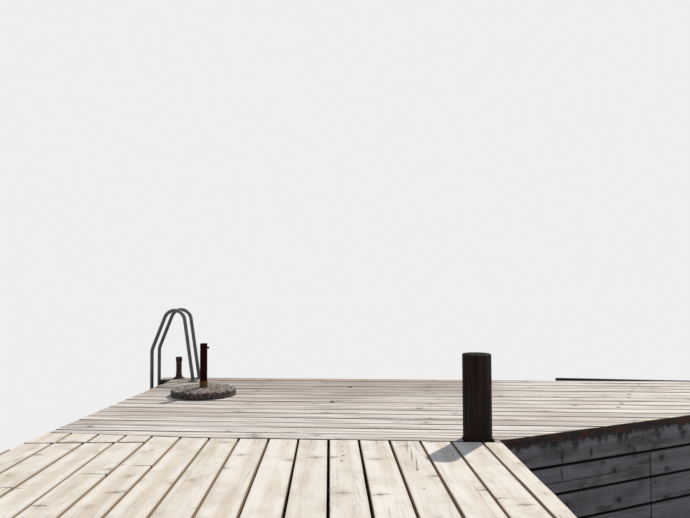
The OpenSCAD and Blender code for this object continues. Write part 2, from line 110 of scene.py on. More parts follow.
class Signal:
    """A value that varies over a surface and takes part in ordinary arithmetic."""

    def __init__(self, wiring: "Wiring", socket: bpy.types.NodeSocket) -> None:
        """Wraps an output socket of a node tree."""
        self.wiring = wiring
        self.socket = socket

    def _math(self, operation: str, *values: Operand) -> "Signal":
        """Adds one Math node over the values."""
        return self.wiring.node("ShaderNodeMath", {"operation": operation}, dict(enumerate(values)))

    def __add__(self, other: Operand) -> "Signal":
        """Sum."""
        return self._math("ADD", self, other)

    __radd__ = __add__

    def __sub__(self, other: Operand) -> "Signal":
        """Difference."""
        return self._math("SUBTRACT", self, other)

    def __rsub__(self, other: Operand) -> "Signal":
        """Difference from a number."""
        return self._math("SUBTRACT", other, self)

    def __mul__(self, other: Operand) -> "Signal":
        """Product."""
        return self._math("MULTIPLY", self, other)

    __rmul__ = __mul__

    def __truediv__(self, other: Operand) -> "Signal":
        """Quotient."""
        return self._math("DIVIDE", self, other)

    def __pow__(self, other: Operand) -> "Signal":
        """Power."""
        return self._math("POWER", self, other)

    def root(self) -> "Signal":
        """Square root."""
        return self._math("SQRT", self)

    def fract(self) -> "Signal":
        """What is left after the whole number."""
        return self._math("FRACT", self)

    def size(self) -> "Signal":
        """Value without its sign."""
        return self._math("ABSOLUTE", self)

    def above(self, other: Operand) -> "Signal":
        """The larger of this and another value."""
        return self._math("MAXIMUM", self, other)

    def rise(self, low: float, high: float) -> "Signal":
        """Climbs smoothly from 0 at low to 1 at high, or falls where low is the larger."""
        return self.wiring.node(
            "ShaderNodeMapRange",
            {"interpolation_type": "SMOOTHSTEP"},
            {"Value": self, "From Min": low, "From Max": high},
        )


class Wiring:
    """A node tree, of a material or of the world."""

    def __init__(self, tree: bpy.types.NodeTree) -> None:
        """Empties the tree."""
        self.nodes = tree.nodes
        self.links = tree.links
        self.nodes.clear()

    def _add(self, kind: str, settings: dict[str, Any], inputs: dict[int | str, Any]) -> bpy.types.Node:
        """Adds a node with its settings and inputs."""
        made = self.nodes.new(kind)
        for key, value in settings.items():
            if key == "stops":
                ramp = made.color_ramp.elements
                while len(ramp) < len(value):
                    ramp.new(0.5)
                for element, (place, colour) in zip(ramp, value):
                    element.position = place
                    element.color = (*colour, 1.0)
            elif key == "steps":
                made.color_ramp.interpolation = value
            else:
                setattr(made, key, value)
        for key, value in inputs.items():
            if isinstance(value, Signal):
                self.links.new(value.socket, made.inputs[key])
            else:
                made.inputs[key].default_value = value
        return made

    def node(
        self,
        kind: str,
        settings: dict[str, Any] | None = None,
        inputs: dict[int | str, Any] | None = None,
        output: int | str = 0,
    ) -> Signal:
        """Adds any node.

        Args:
            kind: The node's type.
            settings: Its properties, set first. For a ramp, "stops" holds places and colours,
                and "steps" how it goes from one to the next.
            inputs: Values or signals for its sockets, by name or number.
            output: The socket that is returned.

        Returns:
            The chosen output.
        """
        return Signal(self, self._add(kind, settings or {}, inputs or {}).outputs[output])

    def end(self, kind: str, shader: Signal) -> None:
        """Leads a shader to an output node's surface."""
        self._add(kind, {}, {"Surface": shader})

    def seen(self) -> Signal:
        """1 where the camera sees it straight, in metal or through glass, and 0 for other light."""
        camera, glossy, through = (
            self.node("ShaderNodeLightPath", output=ray)
            for ray in ("Is Camera Ray", "Is Glossy Ray", "Is Transmission Ray")
        )
        return camera.above(glossy).above(through)


class Shading(Wiring):
    """The node tree of one material."""

    def __init__(self, name: str) -> None:
        """Starts an empty material of that name."""
        self.material = bpy.data.materials.new(name)
        self.material.use_nodes = True
        super().__init__(self.material.node_tree)

    def attribute(self, name: str) -> tuple[Signal, Signal, Signal]:
        """The three parts of a vector that the mesh carries."""
        return self.split(self.node("ShaderNodeAttribute", {"attribute_name": name}, output="Vector"))

    def place(self) -> tuple[Signal, Signal, Signal]:
        """The point's place in the jetty's frame, in metres."""
        return self.split(self.node("ShaderNodeTexCoord", output="Object"))

    def split(self, vector: Signal) -> tuple[Signal, Signal, Signal]:
        """The three parts of a vector."""
        made = self._add("ShaderNodeSeparateXYZ", {}, {0: vector})
        return Signal(self, made.outputs[0]), Signal(self, made.outputs[1]), Signal(self, made.outputs[2])

    def join(self, x: Operand, y: Operand, z: Operand) -> Signal:
        """A vector of three parts."""
        return self.node("ShaderNodeCombineXYZ", inputs={0: x, 1: y, 2: z})

    def noise(
        self, parts: Sequence[Operand], paces: Sequence[float], detail: float = 2.0, roughness: float = 0.5
    ) -> Signal:
        """Soft noise from 0 to 1.

        Args:
            parts: Three values that it varies with.
            paces: Number of its swells for a unit of each value.
            detail: Number of finer layers.
            roughness: Share that each finer layer keeps.

        Returns:
            The noise.
        """
        return self.node(
            "ShaderNodeTexNoise",
            inputs={
                "Vector": self.join(*(part * pace for part, pace in zip(parts, paces))),
                "Scale": 1.0, "Detail": detail, "Roughness": roughness,
            },
        )

    def cells(self, vector: Signal, dimensions: str = "3D") -> tuple[Signal, Signal, Signal]:
        """Scattered cells over a vector.

        Args:
            vector: Place, already scaled to about one cell a unit.
            dimensions: "2D" or "3D".

        Returns:
            The distance to the nearest cell's point, the cell's random colour and its point.
        """
        made = self._add(
            "ShaderNodeTexVoronoi", {"voronoi_dimensions": dimensions}, {"Vector": vector, "Scale": 1.0}
        )
        return tuple(Signal(self, made.outputs[key]) for key in ("Distance", "Color", "Position"))

    def mix(self, share: Operand, first: Any, second: Any) -> Signal:
        """Blends two colours; share 1 gives the second."""
        first, second = ((*c, 1.0) if isinstance(c, tuple) else c for c in (first, second))
        return self.node(
            "ShaderNodeMix", {"data_type": "RGBA"}, {0: share, 6: first, 7: second}, output=2
        )

    def layers(self, colour: Any, *covers: tuple[Operand, Any]) -> Signal:
        """Lays colours over a first one, each by its share."""
        for share, over in covers:
            colour = self.mix(share, colour, over)
        return colour

    def surface(
        self, colour: Signal, roughness: Operand, height: Signal | None = None, relief: float = 0.0,
        **fixed: float,
    ) -> None:
        """Ends the material in one principled surface.

        Args:
            colour: Base colour.
            roughness: Roughness.
            height: What the relief follows, from 0 to 1.
            relief: Depth of the relief in metres.
            fixed: Numbers for other sockets, with underscores for spaces.
        """
        inputs: dict[str, Any] = {key.replace("_", " "): value for key, value in fixed.items()}
        inputs |= {"Base Color": colour, "Roughness": roughness}
        if height is not None:
            inputs["Normal"] = self.node(
                "ShaderNodeBump", inputs={"Strength": 1.0, "Distance": relief, "Height": height}
            )
        self.end("ShaderNodeOutputMaterial", self.node("ShaderNodeBsdfPrincipled", inputs=inputs))


@dataclass(frozen=True)
class Finish(ABC):
    """How a surface looks. Its name is the material's too."""

    name: str

    @abstractmethod
    def paint(self, shading: Shading) -> None:
        """Wires the look into an empty material."""

    @cache
    def material(self) -> bpy.types.Material:
        """The finish's material, built when it is first asked for."""
        shading = Shading(self.name)
        self.paint(shading)
        return shading.material


@dataclass(frozen=True)
class Marks:
    """Like marks at places of their own: dents, bolt heads, cracks, smudges, and spots of painted shade.

    Each is an oval. Its half sizes and its places are in metres on the surface's two axes.
    """

    reach: Pair
    places: Sequence[Pair]
    share: float = 0.9
    edge: float = 0.6


class SawnWood:
    """What varies over sawn timber, each as a share from 0 to 1 unless it says otherwise.

    The mesh carries where each point lies along, across and in the timber it was cut from, so
    rings run through from the face to the end grain. Each knot has a patch of wood to itself,
    whose length and width are in metres.
    """

    KNOT_PATCH: Pair = (0.45, 0.13)

    def __init__(self, shading: Shading, finish: "WoodFinish") -> None:
        """Reads what the mesh carries and works out knots, rings and splits."""
        self.shading = shading
        self.finish = finish
        self.along, self.across, self.depth = shading.attribute("grain")
        self.luck, self.turn, self.check = shading.attribute("tone")
        self.exposed, self.end, self.rim = shading.attribute("skin")
        self.x, self.y, self.up = self.spot = shading.place()
        self.by_luck = (self.along, self.across, self.luck)
        self.by_turn = (self.along, self.across, self.turn)
        self.noise = shading.noise
        self._knots()
        self._rings()
        self._splits()

    def _knots(self) -> None:
        """Scatters knots, the halos round them and the bars where they run across the face."""
        along, across, turn = self.by_turn
        long, wide = self.KNOT_PATCH
        _, dice, point = self.shading.cells(
            self.shading.join(along / long, across / wide + turn * 7.0, 0.0), "2D"
        )
        chance, girth, _ = self.shading.split(dice)
        point_x, point_y, _ = self.shading.split(point)
        off_x = (along / long - point_x) * long
        self.off_y = (across / wide + turn * 7.0 - point_y) * wide
        self.lump = self.noise(self.by_luck, (50.0, 50.0, 9.0)) - 0.5
        self.off = ((off_x * 0.7) ** 2.0 + self.off_y ** 2.0).root() + self.lump * 0.008
        least = 1.0 - self.finish.knot_share
        self.knotty = chance.rise(least - 0.02, least + 0.02)
        self.halo = self.off.rise(0.05, 0.004) * self.knotty
        self.knot = (self.off - girth * 0.009).rise(0.0075, 0.0035) * self.knotty
        wave = self.noise((across, self.luck, turn), (30.0, 41.0, 17.0), 2.0, 0.6) - 0.5
        thin = (off_x + wave * 0.04).size().rise(0.006, 0.002)
        reach = (self.off_y + self.lump * 0.03).size().rise(0.058, 0.02)
        self.bar = thin * reach * chance.rise(0.45, 0.5) * girth.rise(0.25, 0.45)

    def _rings(self) -> None:
        """Cuts the timber from a log whose heart wanders below its face."""
        self.wander = (self.noise((self.along, self.luck, 0.0), (0.6, 31.0, 1.0), 1.0) - 0.5) * 0.05
        drift = (self.noise((self.along, self.turn, 3.0), (0.45, 57.0, 1.0)) - 0.5) * 0.07
        heart = 0.03 + self.turn * 0.07 + drift
        side = self.across - (self.luck - 0.5) * 0.08 - self.wander + self.halo * self.off_y * 0.8
        self.fibre = self.noise((self.along, self.across, self.depth), (9.0, 330.0, 330.0))
        radius = (side ** 2.0 + (self.depth + heart) ** 2.0).root() + self.fibre * 0.001
        turn_of_ring = (radius / self.finish.ring + self.knot * 2.0).fract()
        self.late = turn_of_ring.rise(0.3, 0.85) * turn_of_ring.rise(1.0, 0.93)

    def _splits(self) -> None:
        """Opens hairlines along the grain, in places."""
        slow, fast = self.finish.split_pace
        hair = self.noise(self.by_luck, (slow, fast, 23.0), 1.0) - 0.5
        hair = hair.size().rise(self.finish.split_wide, self.finish.split_wide * 0.2)
        here = self.noise(self.by_luck, (1.6, 14.0, 71.0), 1.0)
        self.split = hair * here.rise(0.54, 0.64)

    def streaks(self) -> Signal:
        """Long narrow streaks."""
        slow, fast = self.finish.streak_pace
        return self.noise(self.by_luck, (slow, fast, 40.0), 3.0, 0.6).rise(0.5, 0.72)

    def stripes(self) -> Signal:
        """Broader stripes that follow the boards."""
        slow, fast = self.finish.stripe_pace
        return self.noise(self.by_turn, (slow, fast, 91.0), 2.0, 0.65).rise(0.46, 0.6)

    def smudges(self) -> Signal:
        """Soft smudges."""
        return self.noise(self.by_turn, (6.0, 9.0, 40.0), 3.0, 0.6).rise(0.46, 0.74)

    def heartwood(self) -> Signal:
        """The band of heartwood down the middle of the face, where it shows."""
        shown = self.noise((self.along, self.luck, 9.0), (1.4, 21.0, 1.0)).rise(0.34, 0.62)
        off = self.across - (self.luck - 0.5) * 0.05 - self.wander * 0.7 + self.lump * 0.02
        return off.size().rise(0.05, 0.01) * shown

    def grime(self) -> Signal:
        """Patches of grime."""
        return self.noise(self.by_luck, (3.0, 8.0, 63.0), 4.0, 0.62).rise(0.55, 0.72)

    def worn_and_shaded_edges(self) -> Signal:
        """Wear and painted shade along the face's two edges, beside the joints between boards."""
        start = self.finish.edge_from
        return (self.across.size() + self.lump * 0.012).rise(start - 0.016, start)

    def saw_marks(self) -> Signal:
        """Marks of the saw across the grain, in places."""
        marks = self.noise(self.by_luck, (120.0, 6.0, 37.0), 3.0, 0.7).rise(0.5, 0.66)
        return marks * self.noise(self.by_luck, (2.4, 9.0, 53.0)).rise(0.46, 0.6)

    def specks(self) -> Signal:
        """Fine dark specks."""
        return self.noise(self.by_luck, (120.0, 260.0, 19.0), 2.0, 0.7).rise(0.6, 0.74)

    def glow(self) -> Signal:
        """Warm wood close round the knots."""
        return self.off.rise(0.038, 0.014) * self.knotty

    def stain(self) -> Signal:
        """The cloudy stain over the head's far left part."""
        cloud = self.noise((self.x, self.y, 5.0), (1.3, 2.6, 1.0), 3.0, 0.6) - 0.5
        return (self.y + cloud * 1.1).rise(0.9, 1.75) * (self.x + cloud * 1.6).rise(0.75, -0.1)

    def fresh_ends(self) -> Signal:
        """Patches of end grain that are less weathered."""
        return self.noise(self.spot, (6.0, 6.0, 26.0), 3.0, 0.65).rise(0.48, 0.62)

    def dripped(self, colour: Signal) -> Signal:
        """Runs dark drips and pale runs down from the boards above, and paints shade in a ragged band just
        under them.
        """
        noise, spot = self.noise, self.spot
        ragged = noise(spot, (30.0, 30.0, 26.0), 3.0, 0.65) - 0.5
        reach = noise((self.x, self.y, 7.0), (7.0, 7.0, 1.0))
        fall = (self.finish.drip_top - self.up) / self.finish.drip_reach
        run = noise(spot, (17.0, 17.0, 3.0), 3.0, 0.6).rise(0.5, 0.62)
        run = run * (fall - reach * 2.6 + ragged * 1.1).rise(0.1, -0.9)
        # painted shade: a ragged dark band just under the overhanging boards, merged with the drips
        under = (fall + ragged * 1.5).rise(0.45, 0.05)
        pale = noise(spot, (46.0, 46.0, 1.5)).rise(0.55, 0.66)
        pale = pale * noise(spot, (1.7, 1.7, 2.0), 1.0).rise(0.52, 0.62)
        return self.shading.layers(
            colour, (pale * fall.rise(2.4, 0.6) * 0.35, self.finish.pale),
            (run.above(under) * 0.85, self.finish.drip_and_shade),
        )

    def marked(self, colour: Signal) -> Signal:
        """Lays the finish's own marks over a colour."""
        from_x, from_y, turn = self.finish.marks_from
        first = (self.x - from_x) * math.cos(turn) + (self.y - from_y) * math.sin(turn)
        second = self.up if self.finish.upright_marks else self.y
        ragged = self.noise(self.spot, (70.0, 70.0, 70.0)) - 0.5
        for group in self.finish.marks:
            wide, high = group.reach
            spot = self.shading.join(first / wide + ragged * 0.7, second / high + ragged * 0.7, 0.0)
            cover: Operand = 0.0
            for one, two in group.places:
                off = self.shading.node(
                    "ShaderNodeVectorMath", {"operation": "DISTANCE"},
                    {0: spot, 1: (one / wide, two / high, 0.0)}, "Value",
                )
                cover = off.rise(1.0 + group.edge / 2, 1.0 - group.edge).above(cover)
            colour = self.shading.mix(cover * group.share, colour, self.finish.knot)
        return colour


@dataclass(frozen=True)
class WoodFinish(Finish):
    """Sawn timber in the weather: rings, knots, checks, and greyer or browner skin.

    A share says how strongly something shows, and a pace how often it swells in a metre along
    and across the timber. Lengths are in metres.
    """

    # Colours of the face, of its sides and of its ends
    pale: Rgb
    late: Rgb
    streak: Rgb
    knot: Rgb
    side: Rgb
    end: Rgb
    end_pale: Rgb = (0.3, 0.2, 0.13)
    heart: Rgb = (0.6, 0.5, 0.4)
    glow: Rgb = (0.5, 0.36, 0.22)
    # colour of the drips and of the painted shade just under the boards
    drip_and_shade: Rgb = (0.0, 0.0, 0.0)
    # Rings, heartwood and tone
    ring: float = 0.0055
    ring_share: float = 0.5
    heart_share: float = 0.3
    tone_share: float = 0.25
    # Streaks, stripes and dirt
    streak_share: float = 0.4
    streak_pace: Pair = (1.1, 34.0)
    stripe_share: float = 0.0
    stripe_pace: Pair = (0.7, 17.0)
    smudge_share: float = 0.14
    grime_share: float = 0.0
    stain_share: float = 0.0
    speck_share: float = 0.0
    # Knots
    knot_share: float = 0.5
    core_share: float = 0.7
    halo_share: float = 0.35
    glow_share: float = 0.0
    bar_share: float = 0.0
    # Splits, saw marks and edges
    split_share: float = 0.5
    split_pace: Pair = (2.2, 110.0)
    split_wide: float = 0.016
    saw_share: float = 0.0
    rim_share: float = 0.15
    # edge_from and edge_share darken the face's edges: wear, and painted shade beside the joints
    edge_from: float = 0.0
    edge_share: float = 0.0
    # the sides darken to the end colour further down: painted shade deep in the gaps between boards
    side_shade: float = 0.0
    # Drips from above with painted shade just under the boards, and marks at places of their own
    drip_top: float = 0.0
    drip_reach: float = 0.0
    marks: Sequence[Marks] = ()
    marks_from: tuple[float, float, float] = (0.0, 0.0, 0.0)
    upright_marks: bool = False

    def paint(self, shading: Shading) -> None:
        """Wires the wood into an empty material.

        Args:
            shading: The material's node tree.
        """
        wood = SawnWood(shading, self)
        smudge = wood.smudges()
        colour = shading.layers(
            self.pale, (wood.late * self.ring_share, self.late),
            (wood.heartwood() * self.heart_share, self.heart),
        )
        if self.stripe_share > 0.0:
            colour = shading.mix(wood.stripes() * self.stripe_share, colour, self.streak)
        colour = shading.layers(
            colour, (wood.streaks() * self.streak_share, self.streak),
            (wood.luck * self.tone_share + smudge * self.smudge_share, self.late),
        )
        for share, cover, over in (
            (self.grime_share, wood.grime, self.knot),
            (self.edge_share, wood.worn_and_shaded_edges, self.streak),
            (self.saw_share, wood.saw_marks, self.streak),
            (self.speck_share, wood.specks, self.streak),
            (self.glow_share, wood.glow, self.glow),
        ):
            if share > 0.0:
                colour = shading.mix(cover() * share, colour, over)
        dark = (wood.bar * self.bar_share).above(wood.split * self.split_share)
        colour = shading.layers(colour, (wood.halo * self.halo_share, self.knot), (dark, self.knot))
        if self.stain_share > 0.0:
            colour = shading.mix(wood.stain() * self.stain_share, colour, self.streak)
        side_wood = shading.mix(wood.fibre * 0.25 + wood.late * 0.2, self.side, self.knot)
        # painted shade: the sides darken to the end colour deep in the gaps between boards
        if self.side_shade > 0.0:
            side_wood = shading.mix(wood.depth.rise(self.side_shade, -self.side_shade), side_wood, self.end)
        end_wood = shading.layers(
            self.end, (wood.fresh_ends() * 0.8, self.end_pale),
            (wood.late * 0.35 + smudge * 0.35, self.knot),
        )
        colour = shading.layers(
            colour, (wood.exposed.rise(0.75, 0.15), side_wood), (wood.end * 0.95, end_wood),
            (wood.knot * (1.0 - wood.end) * self.core_share, self.knot),
            # on the head and the sides the side colour is dark, so the eased rims carry painted shade at the
            # joints
            (wood.rim * self.rim_share, self.side), (wood.check * 0.8, self.knot),
        )
        if self.drip_reach > 0.0:
            colour = wood.dripped(colour)
        if self.marks:
            colour = wood.marked(colour)
        height = wood.fibre * 0.35 + wood.late * self.ring_share - wood.split * 0.7 - wood.bar * 0.4
        height = height + (1.0 - wood.knot) * 0.25
        shading.surface(colour, 0.74 + wood.fibre * 0.16, height, 0.0009, Specular_IOR_Level=0.28)


@dataclass(frozen=True)
class RoundWoodFinish(Finish):
    """Peeled round timber: fibres run up it, and rings show on its sawn top."""

    pale: Rgb
    dark: Rgb
    crack: Rgb
    end: Rgb
    roughness: float = 0.8
    gloss: float = 0.3
    ring: float = 0.0042
    knots: bool = False
    knot: Rgb = (0.04, 0.02, 0.015)

    def paint(self, shading: Shading) -> None:
        """Wires the round wood into an empty material.

        Args:
            shading: The material's node tree.
        """
        noise = shading.noise
        along, x, y = shading.attribute("grain")
        luck, _, check = shading.attribute("tone")
        _, end, _ = shading.attribute("skin")
        fibre = noise((x, y, along), (190.0, 190.0, 5.0), 3.0, 0.6)
        band = noise((x, y, along * 1.2 + luck * 9.0), (26.0, 26.0, 1.0), 3.0)
        patch = noise((x, y, along * 4.0 + luck * 5.0), (9.0, 9.0, 1.0))
        turn_of_ring = ((x ** 2.0 + y ** 2.0).root() / self.ring + patch * 1.2).fract()
        late = turn_of_ring.rise(0.3, 0.85) * turn_of_ring.rise(1.0, 0.93)
        colour = shading.layers(
            self.pale, (band.rise(0.35, 0.7), self.dark), (fibre.rise(0.52, 0.75) * 0.6, self.crack),
            (patch.rise(0.55, 0.75) * 0.4, self.dark),
        )
        if self.knots:
            lump = noise((x, y, along), (60.0, 60.0, 60.0)) - 0.5
            distance, dice, _ = shading.cells(shading.join(x * 9.0, y * 9.0, along * 4.5))
            chance, _, _ = shading.split(dice)
            eye = (distance + lump * 0.12) * chance.rise(0.45, 0.55)
            colour = shading.layers(
                colour, (eye.rise(0.2, 0.1) * eye.rise(0.0, 0.02) * 0.7, self.crack),
                (eye.rise(0.34, 0.2) * eye.rise(0.16, 0.2) * 0.5, self.knot),
            )
        top = shading.mix(late * 0.6, self.end, self.crack)
        colour = shading.layers(colour, (end, top), (check, self.crack))
        shading.surface(
            colour, (fibre * 0.12 + self.roughness).above(end), fibre * 0.7 + band * 0.3, 0.0014,
            Specular_IOR_Level=self.gloss,
        )


@dataclass(frozen=True)
class RustFinish(Finish):
    """Steel that has rusted all over, with flakes and runs."""

    deep: Rgb
    bright: Rgb
    scale: Rgb
    gloss: float = 0.22

    def paint(self, shading: Shading) -> None:
        """Wires the rust into an empty material.

        Args:
            shading: The material's node tree.
        """
        noise, parts = shading.noise, shading.place()
        flake = noise(parts, (90.0, 90.0, 70.0), 5.0, 0.65)
        run = noise(parts, (45.0, 45.0, 6.0), 3.0)
        pit = noise(parts, (420.0, 420.0, 420.0))
        colour = shading.layers(
            self.deep, (flake.rise(0.42, 0.66), self.bright), (run.rise(0.5, 0.7) * 0.6, self.scale),
            (pit.rise(0.62, 0.75) * 0.5, self.deep),
        )
        shading.surface(
            colour, 0.72 + flake * 0.22, flake * 0.7 + pit * 0.3, 0.0007, Specular_IOR_Level=self.gloss
        )


@dataclass(frozen=True)
class TubeFinish(Finish):
    """Dull grey tube with streaks, spots of salt and small scratches."""

    body: Rgb
    stain: Rgb
    salt: Rgb

    def paint(self, shading: Shading) -> None:
        """Wires the tube metal into an empty material.

        Args:
            shading: The material's node tree.
        """
        noise, parts = shading.noise, shading.place()
        cloud = noise(parts, (30.0, 30.0, 14.0), 4.0, 0.6)
        scratch = noise(parts, (600.0, 600.0, 22.0))
        salt = noise(parts, (160.0, 160.0, 160.0), 3.0).rise(0.6, 0.72)
        colour = shading.layers(
            self.body, (cloud.rise(0.4, 0.68) * 0.6, self.stain), (salt * 0.35, self.salt)
        )
        shading.surface(colour, 0.3 + cloud * 0.25 + salt * 0.2, scratch, 0.00012, Metallic=0.85)


@dataclass(frozen=True)
class PebbleFinish(Finish):
    """Washed pebbles of mixed stone, each with one colour and fine speckle.

    Below a height they are painted darker, as painted shade on the foot's shoulder and rim; the height is in
    metres in the jetty's frame.
    """

    stones: Sequence[tuple[float, Rgb]]
    speck: Rgb
    vein: Rgb
    # Painted shade on the foot's shoulder and rim: its colour, the heights between which it fades in, and its
    # strength
    rim_shade: Rgb
    rim_shade_from: float = 1.036
    rim_shade_to: float = 1.057
    rim_shade_share: float = 0.74

    def paint(self, shading: Shading) -> None:
        """Wires the pebbles into an empty material.

        Args:
            shading: The material's node tree.
        """
        x, y, up = shading.place()
        luck, vein, _ = shading.attribute("tone")
        speck = shading.noise((x, y, up), (700.0, 700.0, 700.0))
        marble = shading.noise((x * 160.0 + vein * 40.0, y, up), (1.0, 160.0, 160.0), 3.0)
        stone = shading.node(
            "ShaderNodeValToRGB", {"stops": self.stones, "steps": "CONSTANT"}, {"Fac": luck}, "Color"
        )
        colour = shading.layers(
            stone, (speck.rise(0.5, 0.75) * 0.35, self.speck), (marble.rise(0.58, 0.7) * 0.35, self.vein),
            # painted shade, darker below a height on the foot's shoulder and rim
            (up.rise(self.rim_shade_to, self.rim_shade_from) * self.rim_shade_share, self.rim_shade),
        )
        shading.surface(colour, 0.5 + speck * 0.3, speck, 0.0002, Specular_IOR_Level=0.4)


@dataclass(frozen=True)
class MortarFinish(Finish):
    """The dark sandy bed between pebbles."""

    body: Rgb
    sand: Rgb

    def paint(self, shading: Shading) -> None:
        """Wires the bed into an empty material.

        Args:
            shading: The material's node tree.
        """
        parts = shading.place()
        grit = shading.noise(parts, (520.0, 520.0, 520.0), 3.0, 0.7)
        patch = shading.noise(parts, (24.0, 24.0, 24.0), 3.0)
        colour = shading.layers(
            self.body, (grit.rise(0.45, 0.7), self.sand), (patch.rise(0.5, 0.75) * 0.4, self.body)
        )
        shading.surface(colour, 0.85 + grit * 0.1, grit, 0.0009, Specular_IOR_Level=0.25)


WALKWAY_WOOD = WoodFinish(
    "walkway_wood", pale=srgb(245, 238, 229), late=srgb(208, 194, 177), streak=srgb(186, 167, 146),
    knot=srgb(86, 66, 52), side=srgb(200, 178, 153), end=srgb(80, 65, 54), end_pale=srgb(150, 124, 98),
    heart=srgb(206, 186, 162), glow=srgb(206, 180, 150), ring_share=0.14, heart_share=0.5,
    tone_share=0.16, streak_share=0.22, smudge_share=0.55, speck_share=0.4, knot_share=0.6,
    core_share=0.3, halo_share=0.1, glow_share=0.14, bar_share=0.8, split_share=0.35, saw_share=0.34,
    edge_from=0.074, edge_share=0.25, side_shade=0.009,
    marks=(
        Marks((0.005, 0.009), ((-0.71, -0.24), (-0.70, -0.34), (-0.16, -0.37), (-0.32, -0.92))),
        Marks((0.008, 0.013), ((-0.69, -0.42), (-0.69, -0.52), (-1.66, -0.37), (-0.34, -0.64))),
        Marks((0.0035, 0.14), ((-0.38, -0.19), (-0.36, -0.39), (-0.34, -0.55)), 0.75),
        Marks((0.06, 0.007), ((-1.76, -0.81), (-1.60, -0.66), (-2.01, -1.03)), 0.8),
        Marks((0.012, 0.016), ((-1.70, -0.81), (-1.55, -0.66)), 0.8),
    ),
)
# The boards' dark side colour and dark eased rims are painted shade in the joints between boards.
HEAD_WOOD = WoodFinish(
    "head_wood", pale=srgb(251, 243, 236), late=srgb(186, 169, 157), streak=srgb(124, 107, 95),
    knot=srgb(58, 45, 38), side=srgb(84, 68, 57), end=srgb(23, 17, 16), end_pale=srgb(82, 43, 27),
    heart=srgb(200, 184, 170), ring_share=0.22, heart_share=0.3, tone_share=0.24, streak_share=0.8,
    streak_pace=(1.3, 56.0), stripe_share=0.52, stripe_pace=(0.8, 24.0), smudge_share=0.22,
    stain_share=0.5, speck_share=0.4, knot_share=0.4, core_share=0.6, halo_share=0.3,
    split_share=0.85, split_pace=(0.9, 64.0), split_wide=0.03, saw_share=0.2, rim_share=0.8,
    edge_from=0.069, edge_share=0.8, side_shade=0.009,
    marks=(
        Marks((0.02, 0.036), ((-0.81, 1.75), (-0.89, 1.06)), 1.0, 0.3),
        Marks((0.016, 0.024), (
            (1.54, 2.04), (1.42, 1.79), (1.35, 1.64), (1.29, 1.51), (1.24, 1.37), (1.11, 1.12),
            (1.04, 0.97),
        ), 0.9),
        # painted shade along the first head board's front edge right of the mooring post, at the joint to the
        # walkway
        Marks((0.03, 0.014), ((0.08, -0.03), (0.11, -0.04), (0.15, -0.03)), 0.95, 0.3),
        Marks((0.045, 0.008), (
            (1.47, 1.40), (1.65, 1.63), (-0.79, 1.12), (-1.05, 1.76), (-0.43, 0.39), (-0.78, 0.91),
        ), 0.8),
    ),
)
# The planks' dark side colour and dark eased rims are painted shade in the joints between planks.
SIDE_WOOD = WoodFinish(
    "side_plank_wood", pale=srgb(129, 124, 126), late=srgb(100, 95, 96), streak=srgb(78, 73, 74),
    knot=srgb(30, 26, 27), side=srgb(38, 34, 35), end=srgb(84, 78, 76), end_pale=srgb(100, 92, 88),
    heart=srgb(98, 91, 88), drip_and_shade=srgb(22, 19, 19), ring_share=0.35, heart_share=0.4, tone_share=0.15,
    streak_share=0.55, streak_pace=(1.6, 52.0), stripe_share=0.3, smudge_share=0.45,
    grime_share=0.75, speck_share=0.35, knot_share=0.55, core_share=0.75, halo_share=0.5,
    # drip_top and drip_reach also place the ragged band of painted shade just under the boards
    split_share=0.6, saw_share=0.6, rim_share=0.9, drip_top=0.955, drip_reach=0.06,
)
SLANT_WOOD = replace(
    SIDE_WOOD, name="slant_plank_wood", marks_from=(0.113, -0.05, math.radians(31)), upright_marks=True,
    marks=(
        Marks((0.014, 0.03), (
            (0.67, 0.86), (1.23, 0.89), (1.45, 0.88), (1.02, 0.83), (0.79, 0.93),
        ), 0.8, 1.0),
        Marks((0.03, 0.02), (
            (1.29, 0.51), (1.30, 0.69), (0.76, 0.79), (0.31, 0.93), (0.40, 0.93),
        ), 0.8, 1.2),
        Marks((0.07, 0.035), (
            (0.99, 0.58), (1.00, 0.70), (0.99, 0.81), (0.63, 0.80), (0.48, 0.89),
        ), 0.55, 1.5),
        Marks((0.035, 0.08), (
            (0.34, 0.93), (0.41, 0.92), (0.90, 0.93), (1.08, 0.66), (0.72, 0.71),
        ), 0.5, 1.6),
        Marks((0.016, 0.05), (
            (0.38, 0.96), (0.57, 0.95), (0.74, 0.95), (0.90, 0.96), (0.45, 0.86),
        ), 0.85, 1.0),
        Marks((0.15, 0.004), ((0.45, 0.72), (0.62, 0.72), (0.80, 0.72)), 0.8),
        Marks((0.0045, 0.03), ((0.44, 0.78), (0.45, 0.75), (0.67, 0.86), (1.25, 0.90)), 0.9),
    ),
)
FRAME_WOOD = WoodFinish(
    "frame_wood", pale=srgb(142, 130, 116), late=srgb(112, 99, 86), streak=srgb(98, 86, 75),
    knot=srgb(62, 50, 42), side=srgb(116, 102, 88), end=srgb(104, 88, 74), tone_share=0.3,
)
STRAKE_TAR = WoodFinish(
    "tarred_strake", pale=srgb(42, 42, 42), late=srgb(30, 30, 30), streak=srgb(24, 24, 25),
    knot=srgb(15, 15, 16), side=srgb(34, 33, 33), end=srgb(38, 35, 33), knot_share=0.25,
)
PILE_WOOD = RoundWoodFinish(
    "pile_wood", pale=srgb(122, 109, 94), dark=srgb(88, 76, 64), crack=srgb(48, 40, 34),
    end=srgb(130, 112, 92),
)
POST_WOOD = RoundWoodFinish(
    "dark_post_wood", pale=srgb(54, 38, 32), dark=srgb(9, 5, 4), crack=srgb(5, 3, 3),
    end=srgb(16, 12, 11), roughness=0.6, gloss=0.12, knots=True, knot=srgb(74, 56, 46),
)
